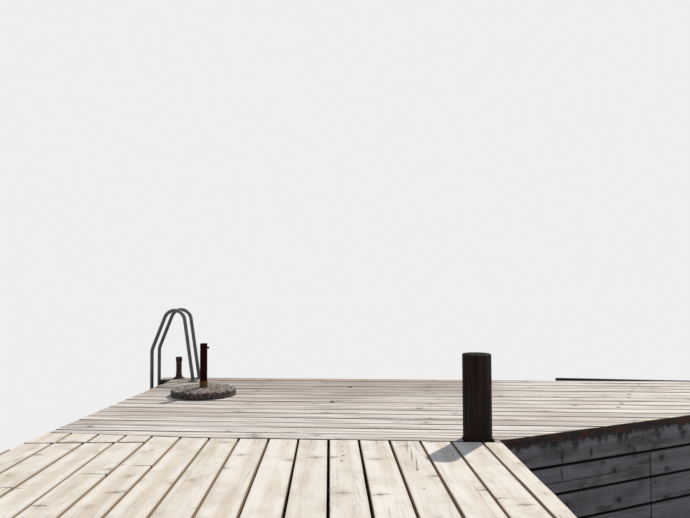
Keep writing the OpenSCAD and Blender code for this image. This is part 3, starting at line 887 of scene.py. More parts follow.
RUSTY_STEEL = RustFinish(
    "rusty_steel", deep=srgb(13, 5, 4), bright=srgb(64, 18, 13), scale=srgb(28, 9, 7), gloss=0.08
)
BOLLARD_STEEL = RustFinish(
    "bollard_steel", deep=srgb(32, 27, 25), bright=srgb(112, 84, 74), scale=srgb(62, 38, 34)
)
YELLOW_RUST = RustFinish(
    "yellow_rust", deep=srgb(70, 46, 30), bright=srgb(160, 122, 72), scale=srgb(104, 72, 42)
)
LADDER_METAL = TubeFinish(
    "ladder_metal", body=srgb(90, 92, 96), stain=srgb(62, 64, 68), salt=srgb(176, 178, 178)
)
MORTAR = MortarFinish("pebbled_stone_bed", body=srgb(32, 28, 28), sand=srgb(64, 57, 54))
PEBBLES = PebbleFinish(
    "pebbled_stone",
    stones=(
        (0.0, srgb(56, 50, 48)), (0.22, srgb(122, 110, 104)), (0.45, srgb(160, 142, 128)),
        (0.64, srgb(206, 190, 172)), (0.82, srgb(150, 112, 92)), (0.9, srgb(244, 234, 218)),
    ),
    # the last colour is that of the painted shade on the foot's shoulder and rim
    speck=srgb(34, 31, 30), vein=srgb(200, 194, 186), rim_shade=(0.02, 0.016, 0.017),
)
NAIL_STEEL = RustFinish(
    "nail_steel", deep=srgb(168, 155, 142), bright=srgb(206, 194, 180), scale=srgb(184, 168, 150)
)


@dataclass
class Shape:
    """Points, faces and what each point or corner carries, ready to become a mesh."""

    points: list[np.ndarray] = field(default_factory=list)
    faces: Faces = field(default_factory=list)
    grain: list[np.ndarray] = field(default_factory=list)
    tone: list[np.ndarray] = field(default_factory=list)
    skin: list[np.ndarray] = field(default_factory=list)
    count: int = 0

    def add(
        self,
        points: np.ndarray,
        faces: Iterable[Sequence[int]],
        grain: np.ndarray | None = None,
        tone: np.ndarray | None = None,
        skin: np.ndarray | None = None,
    ) -> None:
        """Adds one closed form.

        Args:
            points: Its points, one row each.
            faces: Its faces as numbers of those points.
            grain: Place of each point in its timber; the points themselves if left out.
            tone: Luck of the piece and depth in a check, for each point.
            skin: Weather, end grain and rim, for each corner of each face.
        """
        rows = [tuple(self.count + i for i in face) for face in faces]
        corners = sum(len(row) for row in rows)
        self.points.append(points)
        self.faces.extend(rows)
        self.grain.append(points if grain is None else grain)
        self.tone.append(np.zeros((len(points), 3)) if tone is None else tone)
        self.skin.append(np.tile((1.0, 0.0, 0.0), (corners, 1)) if skin is None else skin)
        self.count += len(points)

    def piece(self, name: str, finish: Finish, sharp: float = 15.0) -> bpy.types.Object:
        """Makes the object.

        Args:
            name: The piece's name.
            finish: Its finish.
            sharp: Edges that turn by more degrees than this stay crisp.

        Returns:
            The new object, in the scene.
        """
        mesh = bpy.data.meshes.new(name)
        mesh.from_pydata(np.concatenate(self.points).tolist(), [], self.faces)
        for key, domain, rows in (
            ("grain", "POINT", self.grain), ("tone", "POINT", self.tone), ("skin", "CORNER", self.skin)
        ):
            layer = mesh.attributes.new(key, "FLOAT_VECTOR", domain)
            layer.data.foreach_set("vector", np.concatenate(rows).astype(np.float32).ravel())
        mesh.polygons.foreach_set("use_smooth", [True] * len(mesh.polygons))
        mesh.set_sharp_from_angle(angle=math.radians(sharp))
        mesh.materials.append(finish.material())
        made = bpy.data.objects.new(name, mesh)
        bpy.context.scene.collection.objects.link(made)
        return made


def luck_of(count: int, draw: random.Random) -> np.ndarray:
    """Two draws of luck that all points of one piece share, and no check."""
    return np.tile((draw.random(), draw.random(), 0.0), (count, 1))


def settle(piece: bpy.types.Object, slot: Slot, *nodes: str) -> bpy.types.Object:
    """Puts a finished piece on the jetty.

    Args:
        piece: The piece.
        slot: The material slot that it takes its finish from; not used.
        nodes: Nodes that it stands for.

    Returns:
        The piece.
    """
    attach(piece, BODY)
    if nodes:
        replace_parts(piece, *nodes)
    LOG.info("%s: %d faces", piece.name, len(piece.data.polygons))
    return piece


def ring_points(rings: Sequence[Pair], sides: int) -> np.ndarray:
    """Points of rings round the Z axis, each ring with its radius and its height."""
    turns = [2 * math.pi * k / sides for k in range(sides)]
    return np.array([(r * math.cos(a), r * math.sin(a), z) for r, z in rings for a in turns])


def bands(rings: int, sides: int, closed: bool = False) -> Faces:
    """Faces from each ring of points to the next, and from the last to the first if closed."""
    return [
        (r * sides + k, r * sides + (k + 1) % sides,
         (r + 1) % rings * sides + (k + 1) % sides, (r + 1) % rings * sides + k)
        for r in range(rings if closed else rings - 1) for k in range(sides)
    ]


def caps(rings: int, sides: int) -> Faces:
    """Faces that close the first ring and the last."""
    return [tuple(range(sides - 1, -1, -1)), tuple((rings - 1) * sides + k for k in range(sides))]


def points_of(solid: bmesh.types.BMesh) -> np.ndarray:
    """A solid's points, one row each."""
    return np.array([v.co[:] for v in solid.verts])


def welded(node: str) -> bmesh.types.BMesh:
    """A node's mesh with its points welded and its flat faces whole."""
    solid = bmesh.new()
    solid.from_mesh(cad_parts[node].data)
    bmesh.ops.remove_doubles(solid, verts=solid.verts[:], dist=1e-5)
    bmesh.ops.dissolve_limit(
        solid, angle_limit=math.radians(0.3), verts=solid.verts[:], edges=solid.edges[:]
    )
    return solid


def solids_of(node: str) -> list[bmesh.types.BMesh]:
    """Splits a node into its separate solids.

    Args:
        node: The node's name.

    Returns:
        One welded mesh for each solid, in the order of the node's points.
    """
    whole = welded(node)
    whole.verts.ensure_lookup_table()
    seen: set[int] = set()
    found = []
    for seed in whole.verts:
        if seed.index in seen:
            continue
        group, edge = [], [seed]
        seen.add(seed.index)
        while edge:
            point = edge.pop()
            group.append(point)
            for link in point.link_edges:
                other = link.other_vert(point)
                if other.index not in seen:
                    seen.add(other.index)
                    edge.append(other)
        part = bmesh.new()
        copies = {point.index: part.verts.new(point.co) for point in group}
        faces = {face for point in group for face in point.link_faces}
        for face in sorted(faces, key=lambda f: f.index):
            part.faces.new([copies[corner.index] for corner in face.verts])
        part.normal_update()
        found.append(part)
    return found


def boxes_of(node: str) -> list[tuple[np.ndarray, np.ndarray]]:
    """Low and high corner of each solid of a node."""
    places = [points_of(solid) for solid in solids_of(node)]
    return [(points.min(0), points.max(0)) for points in places]


def longest_edge(solid: bmesh.types.BMesh) -> Vector:
    """Direction of a solid's longest straight edge."""
    longest = max(solid.edges, key=lambda edge: edge.calc_length())
    return (longest.verts[1].co - longest.verts[0].co).normalized()


def run_of(node: str) -> Vector:
    """Direction of a node's longest straight edge, away from the shore or to the right."""
    run = longest_edge(welded(node))
    return -run if run.x + run.y < 0.0 else run


@dataclass(frozen=True)
class Check:
    """A drying check: a groove that opens along the grain on a timber's weathered face."""

    across: float
    middle: float
    half: float
    width: float
    depth: float
    phase: float

    def opening(self, along: np.ndarray) -> np.ndarray:
        """How far it is open, from 0 to 1, at places along the timber."""
        return np.clip(1.0 - ((along - self.middle) / self.half) ** 2, 0.0, 1.0) ** 0.7

    def sway(self, along: np.ndarray) -> np.ndarray:
        """How far it wanders across the timber, in metres."""
        return 0.0022 * np.sin(along * 11.0 + self.phase) + 0.0012 * np.sin(along * 31.0 + self.phase * 3.0)


@dataclass(frozen=True)
class Trade:
    """How one kind of timber is worked and how it has aged.

    Lengths are in metres. Checks are counted for a metre of timber, and lines are shares of
    its width.
    """

    ease: float = 0.003
    step: float = 0.08
    cup: float = 0.0012
    bow: float = 0.0012
    checks: float = 0.45
    check_depth: float = 0.009
    check_width: float = 0.0026
    end_checks: float = 0.6
    pull: float = 0.0
    inset: float = 0.0
    lines: Sequence[float] = (-0.3, 0.0, 0.3)


class Timber:
    """One straight timber, worked from a solid of its node.

    Lengths are in metres. A check has lines of points at its middle, its lips and its spread,
    and its sway fades out a little farther off. Checks keep apart, open only in the timber's
    skin and the middle part of its width, and have least and greatest half lengths. Edges that
    turn by more than a corner are eased, and faces that lean along the grain by more than the
    end turn are ends.
    """

    LIP = 0.0026
    SPREAD = 0.018
    FADE = 1.6 * SPREAD
    APART = 2.2 * SPREAD
    SKIN = 0.0045
    MIDDLE_PART = 0.36
    HALF_FROM_END: Pair = (0.08, 0.32)
    HALF_ALONG: Pair = (0.1, 0.45)
    EDGE_ROOM = 0.006
    CORNER = math.radians(30)
    END_TURN = 0.3

    def __init__(
        self, solid: bmesh.types.BMesh, run: Vector, face: Vector, trade: Trade, draw: random.Random
    ) -> None:
        """Takes a solid to be worked.

        Args:
            solid: The plain solid.
            run: Direction of its grain.
            face: Direction that its weathered face looks.
            trade: How it is worked.
            draw: Source of its luck.
        """
        self.solid = solid
        self.trade = trade
        self.draw = draw
        run = run.normalized()
        face = (face - face.dot(run) * run).normalized()
        self.axes = np.array([run, face.cross(run), face])
        places = self._places()
        self.low, self.high = places.min(0), places.max(0)
        self.centre = (self.low + self.high) / 2
        self.half = (self.high - self.low) / 2

    def _places(self) -> np.ndarray:
        """The points counted along, across and through the timber."""
        return points_of(self.solid) @ self.axes.T

    def _cut(self, axis: int, place: float) -> None:
        """Adds a line of points round the timber at a place on one of its axes."""
        direction = Vector(self.axes[axis])
        everything = self.solid.verts[:] + self.solid.edges[:] + self.solid.faces[:]
        bmesh.ops.bisect_plane(
            self.solid, geom=everything, dist=1e-6, plane_co=direction * place, plane_no=direction
        )

    def _pull_ends(self) -> None:
        """Saws each end a little short, as hand-cut boards are."""
        run = Vector(self.axes[0])
        for sign, reach in ((-1.0, self.low[0]), (1.0, self.high[0])):
            short = self.draw.uniform(0.0, self.trade.pull)
            ends = {
                vert for face in self.solid.faces
                if face.normal.dot(run) * sign > self.END_TURN
                and any(abs(v.co.dot(run) - reach) < 0.001 for v in face.verts)
                for vert in face.verts
            }
            for vert in ends:
                vert.co -= run * sign * short

    def _check(self, across: float, middle: float, half: Pair, least: float) -> Check:
        """Draws one check.

        Args:
            across: Its place across the timber.
            middle: Its middle along the timber.
            half: Least and greatest half length.
            least: Least share of the trade's width and depth.

        Returns:
            The check.
        """
        draw, trade = self.draw, self.trade
        return Check(
            across, middle, draw.uniform(*half), trade.check_width * draw.uniform(least, 1.0),
            trade.check_depth * draw.uniform(least, 1.0), draw.uniform(0.0, 6.0),
        )

    def _checks(self) -> list[Check]:
        """Draws the timber's checks, some from its ends and some along it."""
        draw, trade = self.draw, self.trade
        length, width = 2 * self.half[0], 2 * self.half[1]
        count = int(length * trade.checks + draw.random())
        part = self.MIDDLE_PART
        places = [draw.uniform(-part, part) * width for _ in range(3 * count + 4)]
        kept: list[float] = []
        for place in places:
            if all(abs(place - other) > self.APART for other in kept):
                kept.append(place)
        made = []
        for end in (-1, 1):
            if draw.random() < trade.end_checks and kept:
                middle = self.centre[0] + end * self.half[0]
                made.append(self._check(kept.pop(), middle, self.HALF_FROM_END, 0.6))
        for place in kept[:count]:
            middle = self.centre[0] + draw.uniform(-0.9, 0.9) * self.half[0]
            made.append(self._check(place, middle, self.HALF_ALONG, 0.4))
        return made

    def work(self, shape: Shape) -> None:
        """Works the timber and adds it to a shape.

        Args:
            shape: The shape that gathers the node's timbers.
        """
        solid, trade = self.solid, self.trade
        rim = solid.faces.layers.float.new("rim")
        if trade.pull > 0.0:
            self._pull_ends()
        corners = [edge for edge in solid.edges if edge.calc_face_angle(0.0) > self.CORNER]
        eased = bmesh.ops.bevel(
            solid, geom=corners, offset=trade.ease, segments=2, profile=0.55, affect="EDGES",
            clamp_overlap=False,
        )
        for made in eased["faces"]:
            made[rim] = 1.0
        checks = self._checks()
        lines = {self.centre[1] + share * 2 * self.half[1] for share in trade.lines}
        for check in checks:
            middle = self.centre[1] + check.across
            lines = {line for line in lines if abs(line - middle) > 2 * self.LIP}
            lines |= {middle + off for off in (-self.SPREAD, -self.LIP, 0.0, self.LIP, self.SPREAD)}
        for line in sorted(lines):
            if self.low[1] + self.EDGE_ROOM < line < self.high[1] - self.EDGE_ROOM:
                self._cut(1, line)
        stations = max(1, round(2 * self.half[0] / trade.step))
        for i in range(1, stations):
            self._cut(0, self.low[0] + 2 * self.half[0] * i / stations)
        self._gather(shape, checks, rim)

    def _gather(self, shape: Shape, checks: Sequence[Check], rim: Any) -> None:
        """Bends the worked solid, opens its checks and adds it to the shape."""
        draw, trade = self.draw, self.trade
        rest = self._places()
        along, across, through = (rest - self.centre).T
        place, half_width = rest[:, 0], max(self.half[1], 0.01)
        offset, deep = np.zeros_like(rest), np.zeros(len(rest))
        phase = draw.uniform(0.0, 6.0)
        cup = draw.uniform(-1.0, 1.0) * trade.cup
        offset[:, 2] += cup * ((across / half_width) ** 2 - 0.4) - trade.inset
        offset[:, 2] += trade.bow * 0.6 * np.sin(place * 1.9 + phase)
        offset[:, 1] += trade.bow * 0.5 * np.sin(place * 2.7 + 2.0 * phase)
        surface = np.clip((through - self.half[2] + self.SKIN) / 0.001, 0.0, 1.0)
        for check in checks:
            open_share = check.opening(place)
            gap = across - check.across
            near = np.clip(1.0 - np.abs(gap) / self.FADE, 0.0, 1.0)
            offset[:, 1] += check.sway(place) * near * surface
            lips = (np.abs(np.abs(gap) - self.LIP) < 1e-4) * surface
            offset[:, 1] -= np.sign(gap) * lips * open_share * (self.LIP - check.width / 2)
            line = (np.abs(gap) < 1e-4) * surface
            offset[:, 2] -= line * open_share * check.depth
            deep = np.maximum(deep, line * open_share)
        offset[:, 1] = np.clip(across + offset[:, 1], -self.half[1], self.half[1]) - across
        bent = (rest + offset) @ self.axes
        grain = np.stack([along + draw.uniform(0.0, 50.0), across, through], 1)
        tone = luck_of(len(rest), draw)
        tone[:, 2] = deep
        faces, skin = [], []
        for index, point in enumerate(self.solid.verts):
            point.index = index
        for face in self.solid.faces:
            normal = self.axes @ np.array(face.normal)
            end = 1.0 if abs(normal[0]) > self.END_TURN else 0.0
            faces.append([v.index for v in face.verts])
            skin += [(max(0.0, normal[2]), end, face[rim])] * len(face.verts)
        shape.add(bent, faces, grain, tone, np.array(skin))


@dataclass
class TimberNode:
    """A node of like timbers, all with one grain direction."""

    node: str
    finish: WoodFinish
    run: Vector
    face: Vector
    trade: Trade
    slot: Slot

    def make(self) -> bpy.types.Object:
        """Works every timber of the node.

        Returns:
            The piece that stands for the node.
        """
        draw = random.Random(self.node)
        shape = Shape()
        for solid in solids_of(self.node):
            Timber(solid, self.run, self.face, self.trade, draw).work(shape)
        return settle(shape.piece(self.node + "_worked", self.finish), self.slot, self.node)


@dataclass
class Deck:
    """The boards underfoot, on the walkway and on the head."""

    walkway: Sequence[str] = ("walkway_boards", "walkway_short_boards", "walkway_edge_board")
    infill: str = "infill_boards"
    head: Sequence[str] = ("head_first_board", "head_cut_boards", "head_long_boards", "ladder_board")
    walk_board: Trade = Trade(pull=0.003)
    short_board: Trade = Trade(step=0.05, checks=0.0, end_checks=0.5)
    head_board: Trade = Trade(pull=0.007)

    def make(self) -> list[bpy.types.Object]:
        """Works all boards.

        Returns:
            The deck's pieces.
        """
        lengthwise, crosswise = run_of("walkway_boards"), run_of("head_long_boards")
        rows = [
            *((node, WALKWAY_WOOD, lengthwise, self.walk_board, Slot.WALKWAY) for node in self.walkway),
            (self.infill, WALKWAY_WOOD, lengthwise, self.short_board, Slot.WALKWAY),
            *((node, HEAD_WOOD, crosswise, self.head_board, Slot.HEAD) for node in self.head),
        ]
        return [TimberNode(node, wood, run, UP, trade, slot).make() for node, wood, run, trade, slot in rows]


@dataclass
class PlankedSides:
    """The horizontal planks on all sides."""

    slant: str = "slant_wall"
    others: Sequence[str] = (
        "end_wall", "far_wall", "head_left_wall", "walkway_left_wall", "walkway_right_wall"
    )
    plank: Trade = Trade(step=0.1, cup=0.001, bow=0.001, checks=0.35, check_width=0.0022, inset=0.0012)

    @staticmethod
    def _outward(wall: str) -> Vector:
        """Direction from a wall's beam to its planks."""
        low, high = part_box(wall)
        beam_low, beam_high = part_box(wall.replace("_wall", "_beam"))
        out = run_of(wall).cross(UP)
        return -out if out.dot((low + high) / 2 - (beam_low + beam_high) / 2) < 0.0 else out

    def make(self) -> list[bpy.types.Object]:
        """Works the planks of every side.

        Returns:
            The sides' pieces.
        """
        made = []
        for wall in (self.slant, *self.others):
            wood = SLANT_WOOD if wall == self.slant else SIDE_WOOD
            made.append(
                TimberNode(wall, wood, run_of(wall), self._outward(wall), self.plank, Slot.SIDES).make()
            )
        return made


@dataclass
class Frame:
    """Beams, joists, bearers and square posts below the deck."""

    laid: Sequence[str] = (
        "slant_beam", "end_beam", "far_beam", "head_left_beam", "walkway_left_beam",
        "walkway_right_beam", "shore_beam", "junction_beams", "head_joists", "walkway_joists",
        "head_bearers", "walkway_bearers",
    )
    stood: Sequence[str] = ("slant_posts", "end_posts", "far_posts", "left_posts", "walkway_posts")
    beam: Trade = Trade(step=0.4, cup=0.0, bow=0.0, checks=0.3, check_depth=0.012, end_checks=0.4, lines=())
    post: Trade = Trade(step=0.25, cup=0.0, bow=0.0, checks=1.0, check_depth=0.012, end_checks=0.0, lines=())

    def make(self) -> list[bpy.types.Object]:
        """Works the frame's timbers.

        Returns:
            The frame's pieces.
        """
        rows = [(node, run_of(node), run_of(node).cross(UP), self.beam) for node in self.laid]
        rows += [(node, UP, TOWARDS_SHORE, self.post) for node in self.stood]
        return [
            TimberNode(node, FRAME_WOOD, run, face, trade, Slot.FRAME).make()
            for node, run, face, trade in rows
        ]


@dataclass(frozen=True)
class RoundTimber:
    """A peeled round timber that stands upright.

    Lengths are in metres. The crown is the rounding of its top edge, and depth that of its
    deepest check. The top has rings of points at shares of the radius.
    """

    TOP_RINGS: ClassVar[Sequence[float]] = (0.72, 0.45, 0.2)

    x: float
    y: float
    bottom: float
    top: float
    radius: float
    sides: int
    step: float
    checks: int
    depth: float
    crown: float
    lip_width: float = 0.0022
    check_width: float = 0.0028

    @property
    def _lip(self) -> float:
        """Angle from a check's middle to its lip."""
        return self.lip_width / self.radius

    def _angles(self, draw: random.Random) -> tuple[np.ndarray, list[Check]]:
        """Angles of the points round it, and its checks, each with its angle as its place across."""
        lip = self._lip
        angles = [2 * math.pi * i / self.sides for i in range(self.sides)]
        checks = []
        for k in range(self.checks):
            angle = 2 * math.pi * (k + draw.uniform(0.2, 0.8)) / self.checks
            tall = (self.top - self.bottom) * draw.uniform(0.2, 0.5)
            middle = self.top - draw.uniform(0.0, 1.0) * (self.top - self.bottom)
            checks.append(Check(
                angle, middle, tall, self.check_width * draw.uniform(0.6, 1.2),
                self.depth * draw.uniform(0.5, 1.0), draw.uniform(0.0, 6.0),
            ))
            angles = [a for a in angles if abs(a - angle) > 1.8 * lip]
            angles += [angle - lip, angle, angle + lip]
        return np.array(sorted(a % (2 * math.pi) for a in angles)), checks

    def _profile(self) -> list[Pair]:
        """Share of the radius and height of each ring of points, from the bottom to the top's middle."""
        shoulder = self.top - self.crown
        rows = max(2, round((shoulder - self.bottom) / self.step))
        side = [(1.0, self.bottom + (shoulder - self.bottom) * i / rows) for i in range(rows + 1)]
        turns = [math.radians(degrees) for degrees in (30, 60, 85)]
        arc = [
            (1.0 - self.crown * (1 - math.cos(a)) / self.radius, self.top - self.crown * (1 - math.sin(a)))
            for a in turns
        ]
        return [(0.5, self.bottom), *side, *arc, *((share, self.top) for share in self.TOP_RINGS)]

    def _ring(
        self, share: float, z: float, phase: float, angles: np.ndarray, checks: Sequence[Check]
    ) -> tuple[np.ndarray, np.ndarray]:
        """One ring of points and how deep in a check each lies."""
        lip = self._lip
        radius = self.radius * share * (
            1.0 - 0.012 * (0.5 + 0.5 * np.sin(3 * angles + z * 2.1 + phase))
            - 0.006 * (0.5 + 0.5 * np.sin(7 * angles + z * 5.0 + 2 * phase))
        )
        turned, cut = angles.copy(), np.zeros(len(angles))
        for check in checks:
            gap = (angles - check.across + math.pi) % (2 * math.pi) - math.pi
            wide = check.opening(np.array([z]))[0] * share ** 2
            near = np.clip(1.0 - np.abs(gap) / (12 * lip), 0.0, 1.0)
            turned += check.sway(np.array([z]))[0] / self.radius * near
            on_lip = np.abs(np.abs(gap) - lip) < 1e-4
            turned -= np.sign(gap) * on_lip * wide * (lip - check.width / 2 / self.radius)
            in_line = (np.abs(gap) < 1e-4) * wide
            cut = np.maximum(cut, in_line)
            radius = radius - in_line * check.depth
        points = np.stack([radius * np.cos(turned), radius * np.sin(turned), np.full(len(angles), z)], 1)
        return points, cut

    def add_to(self, shape: Shape, draw: random.Random) -> None:
        """Adds the timber to a shape.

        Args:
            shape: The shape that gathers like timbers.
            draw: Source of its luck.
        """
        angles, checks = self._angles(draw)
        profile = self._profile()
        phase = draw.uniform(0.0, 6.0)
        rings = [self._ring(share, z, phase, angles, checks) for share, z in profile]
        local = np.concatenate([points for points, _ in rings])
        count = len(angles)
        faces = bands(len(rings), count) + caps(len(rings), count)
        first_of_top = len(rings) - 1 - len(self.TOP_RINGS)
        ends = [
            float(row == 0 or row >= first_of_top) for row in range(len(rings) - 1) for _ in range(count)
        ]
        ends += [1.0, 1.0]
        tone = luck_of(len(local), draw)
        tone[:, 2] = np.concatenate([cut for _, cut in rings])
        skin = [(1.0, end, 0.0) for face, end in zip(faces, ends) for _ in face]
        shape.add(local + (self.x, self.y, 0.0), faces, local[:, [2, 0, 1]], tone, np.array(skin))


@dataclass
class Piles:
    """The round piles under both decks."""

    nodes: Sequence[str] = ("head_piles", "walkway_piles")
    sides: int = 28
    step: float = 0.11
    checks: int = 2
    check_depth: float = 0.012
    crown: float = 0.002

    def make(self) -> list[bpy.types.Object]:
        """Builds the piles where their nodes stand.

        Returns:
            One piece for each node.
        """
        made = []
        for node in self.nodes:
            draw, shape = random.Random(node), Shape()
            for low, high in boxes_of(node):
                x, y, _ = (low + high) / 2
                RoundTimber(
                    x, y, bottom=low[2], top=high[2], radius=(high[0] - low[0]) / 2, sides=self.sides,
                    step=self.step, checks=self.checks, depth=self.check_depth, crown=self.crown,
                ).add_to(shape, draw)
            made.append(settle(shape.piece(node + "_worked", PILE_WOOD, 40.0), Slot.PILES, node))
        return made


@dataclass
class MooringPost:
    """The thick dark post in the crook of the two decks."""

    node: str = "mooring_post"
    sides: int = 84
    step: float = 0.022
    checks: int = 7
    check_depth: float = 0.011
    crown: float = 0.005
    inside: float = 0.0006

    def make(self) -> bpy.types.Object:
        """Builds the post with its checks and its worn top.

        Returns:
            The post.
        """
        low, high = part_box(self.node)
        middle, shape = (low + high) / 2, Shape()
        RoundTimber(
            middle.x, middle.y, bottom=low.z, top=high.z, radius=(high.x - low.x) / 2 - self.inside,
            sides=self.sides, step=self.step, checks=self.checks, depth=self.check_depth, crown=self.crown,
        ).add_to(shape, random.Random(self.node))
        return settle(shape.piece("mooring_post_worked", POST_WOOD, 40.0), Slot.POST, self.node)


def smoothed(node: str, finish: Finish, slot: Slot, ease: float = 0.0) -> bpy.types.Object:
    """Makes a smooth copy of a metal or stone node.

    Args:
        node: The node.
        finish: Its finish.
        slot: Its material slot.
        ease: Width by which its crisp edges are rounded, in metres.

    Returns:
        The piece that stands for the node.
    """
    solid = welded(node)
    if ease > 0.0:
        corners = [edge for edge in solid.edges if edge.calc_face_angle(0.0) > math.radians(40)]
        bmesh.ops.bevel(
            solid, geom=corners, offset=ease, segments=2, profile=0.5, affect="EDGES", clamp_overlap=True
        )
    shape = Shape()
    shape.add(points_of(solid), [[v.index for v in face.verts] for face in solid.faces])
    return settle(shape.piece(node + "_worked", finish, 30.0), slot, node)


@dataclass(frozen=True)
class Head:
    """A low domed head, such as a nail's or a screw's.

    Lengths are in metres, and dome is the share of the height that is domed.
    """

    radius: float
    height: float
    sides: int
    dome: float

    def set_at(self, places: Iterable[Vector], draw: random.Random) -> Shape:
        """Sets a head at each place, looking up.

        Args:
            places: Where each head sits.
            draw: Source of their small tilts.

        Returns:
            The shape that holds them all.
        """
        rings = [
            (self.radius, -0.3 * self.height), (self.radius, self.height * (1 - self.dome)),
            (self.radius * 0.62, self.height * (1 - 0.3 * self.dome)), (self.radius * 0.25, self.height),
        ]
        points = ring_points(rings, self.sides)
        faces = bands(len(rings), self.sides) + caps(len(rings), self.sides)
        shape = Shape()
        for place in places:
            tilt = Vector((draw.gauss(0, 0.03), draw.gauss(0, 0.03), draw.gauss(0, 0.03)))
            spin = Matrix.Rotation(draw.uniform(0, 3), 3, "Z")
            turn = (UP + tilt).to_track_quat("Z", "Y").to_matrix() @ spin
            tone = luck_of(len(points), draw)
            shape.add(points @ np.array(turn).T + np.array(place), faces, tone=tone)
        return shape


@dataclass(frozen=True)
class Line:
    """A straight carrier in plan: its centre, its direction and half its length."""

    middle: Vector
    run: Vector
    half: float

    @classmethod
    def along(cls, solid: bmesh.types.BMesh) -> "Line":
        """The line of a carrier's solid."""
        run, points = longest_edge(solid), points_of(solid)
        side = Vector((-run.y, run.x, 0.0))
        reach, off = points @ np.array(run), points @ np.array(side)
        middle = run * float((reach.min() + reach.max()) / 2) + side * float((off.min() + off.max()) / 2)
        return cls(middle, run, float((reach.max() - reach.min()) / 2))


@dataclass
class Nails:
    """Nails where boards cross joists and beams, in one row on narrow boards and two on wide ones.

    Each nail needs room for its head all round, which is looked for from above the deck.
    """

    head: Head = Head(radius=0.0032, height=0.0007, sides=8, dome=0.5)
    from_edge: float = 0.03
    from_end: float = 0.015
    room: float = 0.012
    look_from: float = 1.1
    look_reach: float = 0.12
    carriers: Sequence[str] = (
        "head_joists", "walkway_joists", "junction_beams", "shore_beam", "slant_beam", "end_beam",
        "head_left_beam",
    )

    def make(self, deck: Sequence[bpy.types.Object]) -> bpy.types.Object:
        """Drives the deck's nails.

        Args:
            deck: The finished deck pieces.

        Returns:
            All deck nails as one piece.
        """
        under = [Line.along(solid) for node in self.carriers for solid in solids_of(node)]
        lengthwise, places = run_of("walkway_boards"), []
        for piece in deck:
            (node,) = piece["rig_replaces"]
            top = BVHTree.FromObject(piece, bpy.context.evaluated_depsgraph_get())
            run = TO_THE_RIGHT if node in Deck.head else lengthwise
            across = UP.cross(run)
            for solid in solids_of(node):
                points = points_of(solid)
                reach, off = points @ np.array(run), points @ np.array(across)
                lines = [off.min() + self.from_edge, off.max() - self.from_edge]
                if lines[0] < lines[1] < lines[0] + self.from_edge:
                    lines.pop()
                for line in lines:
                    places += self._crossings(run, across * line, reach.min(), reach.max(), under, top)
        shape = self.head.set_at(places, random.Random("nails"))
        return settle(shape.piece("deck_nails", NAIL_STEEL, 40.0), Slot.RUST)

    def _crossings(
        self, run: Vector, origin: Vector, start: float, stop: float, under: Sequence[Line], top: BVHTree
    ) -> list[Vector]:
        """Nail places on one line along a board.

        Args:
            run: Direction of the board.
            origin: Where the line passes closest to the jetty's origin.
            start: The board's start, counted along the line.
            stop: Its end.
            under: What carries the board.
            top: The board's worked surface.

        Returns:
            Where each nail sits.
        """
        found = []
        beside = [(0.0, 0.0), (self.room, 0.0), (-self.room, 0.0), (0.0, self.room), (0.0, -self.room)]
        for carrier in under:
            cross = run.x * carrier.run.y - run.y * carrier.run.x
            if abs(cross) < 0.3:
                continue
            gap = carrier.middle - origin
            on_board = (gap.x * carrier.run.y - gap.y * carrier.run.x) / cross
            on_carrier = (gap.x * run.y - gap.y * run.x) / cross
            if not start + self.from_end < on_board < stop - self.from_end or abs(on_carrier) >= carrier.half:
                continue
            spot = origin + run * on_board
            hits = [
                top.ray_cast(Vector((spot.x + dx, spot.y + dy, self.look_from)), -UP, self.look_reach)[0]
                for dx, dy in beside
            ]
            if all(hit is not None for hit in hits):
                found.append(Vector((spot.x, spot.y, hits[0].z)))
        return found


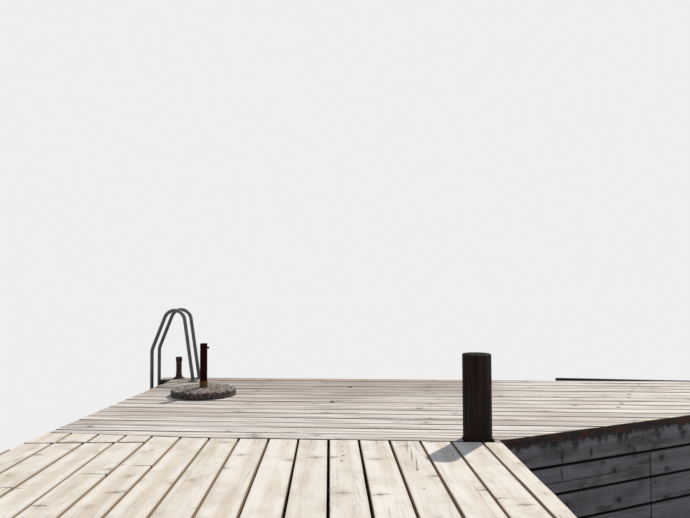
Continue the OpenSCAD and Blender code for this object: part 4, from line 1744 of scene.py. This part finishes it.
@dataclass
class PipePost:
    """The rusty pipe, its clamp screw and collar, and the round pebbled foot.

    Pebbles lie in rows at a spacing, each with a half width and a height between two limits.
    Lengths are in metres.
    """

    nut: float = 0.0062
    nut_bite: float = 0.0004
    spacing: float = 0.0092
    size: Pair = (0.0036, 0.0064)
    stand: Pair = (0.0018, 0.0056)
    sides: int = 7
    rim_top: float = 0.05
    rim_low: float = 0.006
    rim_gap: float = 0.004
    bend: float = 0.012
    from_collar: float = 0.006
    sunk: float = 0.0012

    def make(self) -> list[bpy.types.Object]:
        """Dresses the pipe and its fittings and beds the pebbles.

        Returns:
            The pieces.
        """
        return [
            smoothed("pipe_post", RUSTY_STEEL, Slot.RUST),
            smoothed("pipe_bolt", RUSTY_STEEL, Slot.RUST, ease=0.0006),
            self._lock_nut(),
            smoothed("pipe_collar", YELLOW_RUST, Slot.YELLOW_RUST),
            smoothed("pipe_foot", MORTAR, Slot.STONE),
            self._pebbles(),
        ]

    def _lock_nut(self) -> bpy.types.Object:
        """A nut on the clamp screw, run up against the pipe."""
        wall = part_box("pipe_post")[1].x
        low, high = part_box("pipe_bolt")
        middle = (low + high) / 2
        rings = [(0.8 * self.nut, 0.0), (self.nut, 0.08), (self.nut, 0.84), (0.78 * self.nut, 1.0)]
        y, z, part = ring_points(rings, 6).T
        x = wall - self.nut_bite + (high.x - wall - self.nut) * part
        shape = Shape()
        shape.add(np.stack([x, middle.y + y, middle.z + z], 1), bands(4, 6) + caps(4, 6))
        return settle(shape.piece("pipe_bolt_nut", RUSTY_STEEL), Slot.RUST)

    def _rows(self) -> list[tuple[float, float, float]]:
        """Rows of pebbles down the foot, each with its radius, height and lean from upright."""
        low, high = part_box("pipe_foot")
        collar_low, collar_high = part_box("pipe_collar")
        edge = (high.x - low.x) / 2
        inner = (collar_high.x - collar_low.x) / 2 + self.from_collar
        rim = low.z + self.rim_top
        flat = edge - self.bend - inner
        slope = (high.z - rim) / flat
        outs = [i * self.spacing for i in range(int(flat / self.spacing) + 1)]
        rows = [(inner + out, high.z - out * slope, 0.0) for out in outs]
        for lean in (math.radians(20), math.radians(50), math.radians(80)):
            out, up = self.bend * math.sin(lean), self.bend * math.cos(lean)
            rows.append((edge - self.bend + out, rim - self.bend + up, lean))
        count = int((self.rim_top - self.bend - self.rim_low) / self.spacing)
        for i in range(count + 1):
            rows.append((edge, rim - self.bend - self.rim_gap - i * self.spacing, math.pi / 2))
        return rows

    def _pebbles(self) -> bpy.types.Object:
        """Beds the pebbles in rows over the foot's top and rim."""
        low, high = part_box("pipe_foot")
        centre = Vector(((low.x + high.x) / 2, (low.y + high.y) / 2, 0.0))
        draw, shape = random.Random("pebbles"), Shape()
        for radius, z, lean in self._rows():
            count = max(6, round(2 * math.pi * radius / self.spacing))
            shift = draw.uniform(0, 1)
            for k in range(count):
                angle = 2 * math.pi * (k + shift + draw.uniform(-0.28, 0.28)) / count
                ring = Vector((math.cos(angle), math.sin(angle), 0.0))
                out = ring * math.sin(lean) + UP * math.cos(lean)
                along = ring * math.cos(lean) - UP * math.sin(lean)
                jitter = draw.uniform(-0.25, 0.25) * self.spacing
                self._pebble(shape, centre + ring * radius + UP * z + along * jitter, out, draw)
        return settle(shape.piece("foot_pebbles", PEBBLES, 75.0), Slot.STONE)

    def _pebble(self, shape: Shape, place: Vector, out: Vector, draw: random.Random) -> None:
        """Adds one pebble, sunk by its lowest ring."""
        sides = self.sides
        wide = draw.uniform(*self.size)
        long = wide * draw.uniform(1.0, 1.45)
        tall = draw.uniform(*self.stand)
        rings = ring_points([(0.86, -self.sunk), (1.0, 0.25 * tall), (0.68, 0.78 * tall)], sides)
        local = np.vstack([rings * (long, wide, 1.0), (0.0, 0.0, tall)])
        faces = bands(3, sides)
        faces += [(2 * sides + k, 2 * sides + (k + 1) % sides, 3 * sides) for k in range(sides)]
        faces += caps(3, sides)[:1]
        turn = out.to_track_quat("Z", "Y").to_matrix() @ Matrix.Rotation(draw.uniform(0, math.pi), 3, "Z")
        shape.add(local @ np.array(turn).T + np.array(place), faces, tone=luck_of(len(local), draw))


@dataclass
class Bollard:
    """The small rusty bollard on the last board."""

    def make(self) -> bpy.types.Object:
        """Dresses the bollard."""
        return smoothed("bollard", BOLLARD_STEEL, Slot.RUST)


@dataclass
class BathingLadder:
    """Two bent rails with rungs, feet and stays.

    Screws stand at a share of each foot's radius, the first at a turn from the X axis.
    """

    plain: Sequence[str] = ("near_rail", "far_rail", "ladder_rungs")
    foot_ease: float = 0.0012
    weld: float = 0.0024
    weld_points: int = 28
    weld_sides: int = 6
    screw: Head = Head(radius=0.0052, height=0.0028, sides=14, dome=0.7)
    screws: int = 3
    screw_out: float = 0.74
    screw_turn: float = 0.5

    def make(self) -> list[bpy.types.Object]:
        """Dresses the ladder and adds its welds and screws.

        Returns:
            The pieces.
        """
        return [
            *(smoothed(node, LADDER_METAL, Slot.LADDER) for node in self.plain),
            smoothed("ladder_feet", LADDER_METAL, Slot.LADDER, ease=self.foot_ease),
            smoothed("ladder_stays", LADDER_METAL, Slot.LADDER),
            self._welds(),
            self._screws(),
        ]

    def _welds(self) -> bpy.types.Object:
        """A bead of weld round each rung's end, on the saddle where it meets the leg."""
        shape = Shape()
        rails = [(*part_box("near_rail"), 1.0), (*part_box("far_rail"), -1.0)]
        for low, high in boxes_of("ladder_rungs"):
            x, _, z = (low + high) / 2
            for rail_low, rail_high, side in rails:
                leg, radius = (rail_low.y + rail_high.y) / 2, (rail_high.y - rail_low.y) / 2
                self._bead(shape, Vector((x, leg, z)), (high[2] - low[2]) / 2, radius, side)
        return settle(shape.piece("ladder_welds", LADDER_METAL, 50.0), Slot.LADDER)

    def _bead(self, shape: Shape, centre: Vector, rung: float, rail: float, side: float) -> None:
        """Adds one weld bead.

        Args:
            shape: The shape that gathers the beads.
            centre: Where the rung's axis crosses the leg's.
            rung: Radius of the rung.
            rail: Radius of the leg.
            side: 1 where the rung leaves the leg along +Y, and -1 on the other side.
        """
        points = []
        for i in range(self.weld_points):
            a = 2 * math.pi * i / self.weld_points
            ring = Vector((math.cos(a), 0.0, math.sin(a)))
            saddle = Vector((0.0, side * math.sqrt(rail ** 2 - (rung * math.cos(a)) ** 2), 0.0))
            size = self.weld * (1.0 + 0.18 * math.sin(9 * a))
            for k in range(self.weld_sides):
                b = 2 * math.pi * k / self.weld_sides
                round_bead = (ring * math.cos(b) + Vector((0.0, 1.0, 0.0)) * math.sin(b)) * size
                points.append(centre + saddle + ring * rung + round_bead)
        shape.add(np.array(points), bands(self.weld_points, self.weld_sides, closed=True))

    def _screws(self) -> bpy.types.Object:
        """Screws through the foot plates."""
        places = []
        for low, high in boxes_of("ladder_feet"):
            x, y, _ = (low + high) / 2
            out = self.screw_out * (high[0] - low[0]) / 2
            for k in range(self.screws):
                a = 2 * math.pi * k / self.screws + self.screw_turn
                places.append(Vector((x + out * math.cos(a), y + out * math.sin(a), high[2])))
        shape = self.screw.set_at(places, random.Random("screws"))
        return settle(shape.piece("ladder_screws", LADDER_METAL, 40.0), Slot.LADDER)


@dataclass
class EdgeStrake:
    """The tarred strake along the far edge."""

    strip: Trade = Trade(step=0.1, cup=0.0, bow=0.0, checks=0.35, check_width=0.0022)

    def make(self) -> bpy.types.Object:
        """Works the strake."""
        run = run_of("edge_strake")
        return TimberNode("edge_strake", STRAKE_TAR, run, UP, self.strip, Slot.STRAKE).make()


@dataclass
class Studio:
    """Camera, lamp, floor and background. Angles are in radians."""

    eye: tuple[float, float, float] = (-0.419, -3.724, 1.833)
    heading: float = math.radians(4.5)
    pitch: float = 0.036
    roll: float = -0.003
    focal_px: float = 678.0
    image_width: float = 690.0
    sensor: float = 36.0
    sun: tuple[float, float, float] = (0.449, 0.893, 0.923)
    sun_width: float = math.radians(1.6)
    sky_share: float = 0.37
    sky: Rgb = (0.84, 0.95, 1.14)
    bounce: Rgb = (0.6, 0.6, 0.6)
    backdrop: Rgb = (0.86, 0.86, 0.86)
    floor_reach: float = 90.0

    def make(self) -> None:
        """Sets up everything that isn't part of the jetty."""
        self._camera()
        self._lamp()
        self._floor()
        self._world()
        bpy.context.scene.view_settings.view_transform = "Standard"

    def _camera(self) -> None:
        """Stands the camera at the shore end, a little above the deck."""
        data = bpy.data.cameras.new("camera")
        data.sensor_width = self.sensor
        data.lens = self.focal_px / self.image_width * self.sensor
        level = Vector((math.cos(self.heading), math.sin(self.heading), 0.0))
        ahead = UP.cross(level) * math.cos(self.pitch) + UP * math.sin(self.pitch)
        upright = level.cross(ahead)
        right = level * math.cos(self.roll) + upright * math.sin(self.roll)
        top = upright * math.cos(self.roll) - level * math.sin(self.roll)
        turn = Matrix((right, top, -ahead)).transposed().to_4x4()
        camera = bpy.data.objects.new("camera", data)
        camera.matrix_world = Matrix.Translation(self.eye) @ turn
        bpy.context.scene.collection.objects.link(camera)
        bpy.context.scene.camera = camera

    def _lamp(self) -> None:
        """A soft key lamp ahead of the camera, high on the right.

        It gives a level surface what the sky leaves over, so that a colour renders as written.
        """
        lamp = bpy.data.lights.new("key", "SUN")
        lamp.angle = self.sun_width
        toward = Vector(self.sun).normalized()
        rest = [1.0 - self.sky_share * part for part in self.sky]
        lamp.energy = math.pi * max(rest) / toward.z
        lamp.color = [part / max(rest) for part in rest]
        made = bpy.data.objects.new("key", lamp)
        made.matrix_world = toward.to_track_quat("Z", "Y").to_matrix().to_4x4()
        bpy.context.scene.collection.objects.link(made)

    def _floor(self) -> None:
        """A plain pale floor on the level of the pile feet."""
        mesh = bpy.data.meshes.new("floor")
        signs = ((-1, -1), (1, -1), (1, 1), (-1, 1))
        corners = [(self.floor_reach * x, self.floor_reach * y, 0.0) for x, y in signs]
        mesh.from_pydata(corners, [], [(0, 1, 2, 3)])
        floor = bpy.data.objects.new("floor", mesh)
        bpy.context.scene.collection.objects.link(floor)
        shading = Shading("floor")
        colour = shading.mix(shading.seen(), self.bounce, self.backdrop)
        shading.surface(colour, 0.9, Specular_IOR_Level=0.0)
        mesh.materials.append(shading.material)

    def _world(self) -> None:
        """Even light from all round, with a white background where it is seen."""
        world = bpy.data.worlds.new("world")
        bpy.context.scene.world = world
        world.use_nodes = True
        wiring = Wiring(world.node_tree)
        light, shown = (
            wiring.node("ShaderNodeBackground", inputs={"Color": (*colour, 1.0), "Strength": strength})
            for colour, strength in ((self.sky, self.sky_share), (self.backdrop, 1.0))
        )
        mixed = wiring.node("ShaderNodeMixShader", inputs={0: wiring.seen(), 1: light, 2: shown})
        wiring.end("ShaderNodeOutputWorld", mixed)


def main() -> None:
    """Builds the studio and every sub-assembly in order."""
    logging.basicConfig(level=logging.INFO, format="%(name)s: %(message)s")
    Studio().make()
    deck = Deck().make()
    PlankedSides().make()
    Frame().make()
    Piles().make()
    MooringPost().make()
    PipePost().make()
    Bollard().make()
    BathingLadder().make()
    EdgeStrake().make()
    Nails().make(deck)


if __name__ == "__main__":
    main()
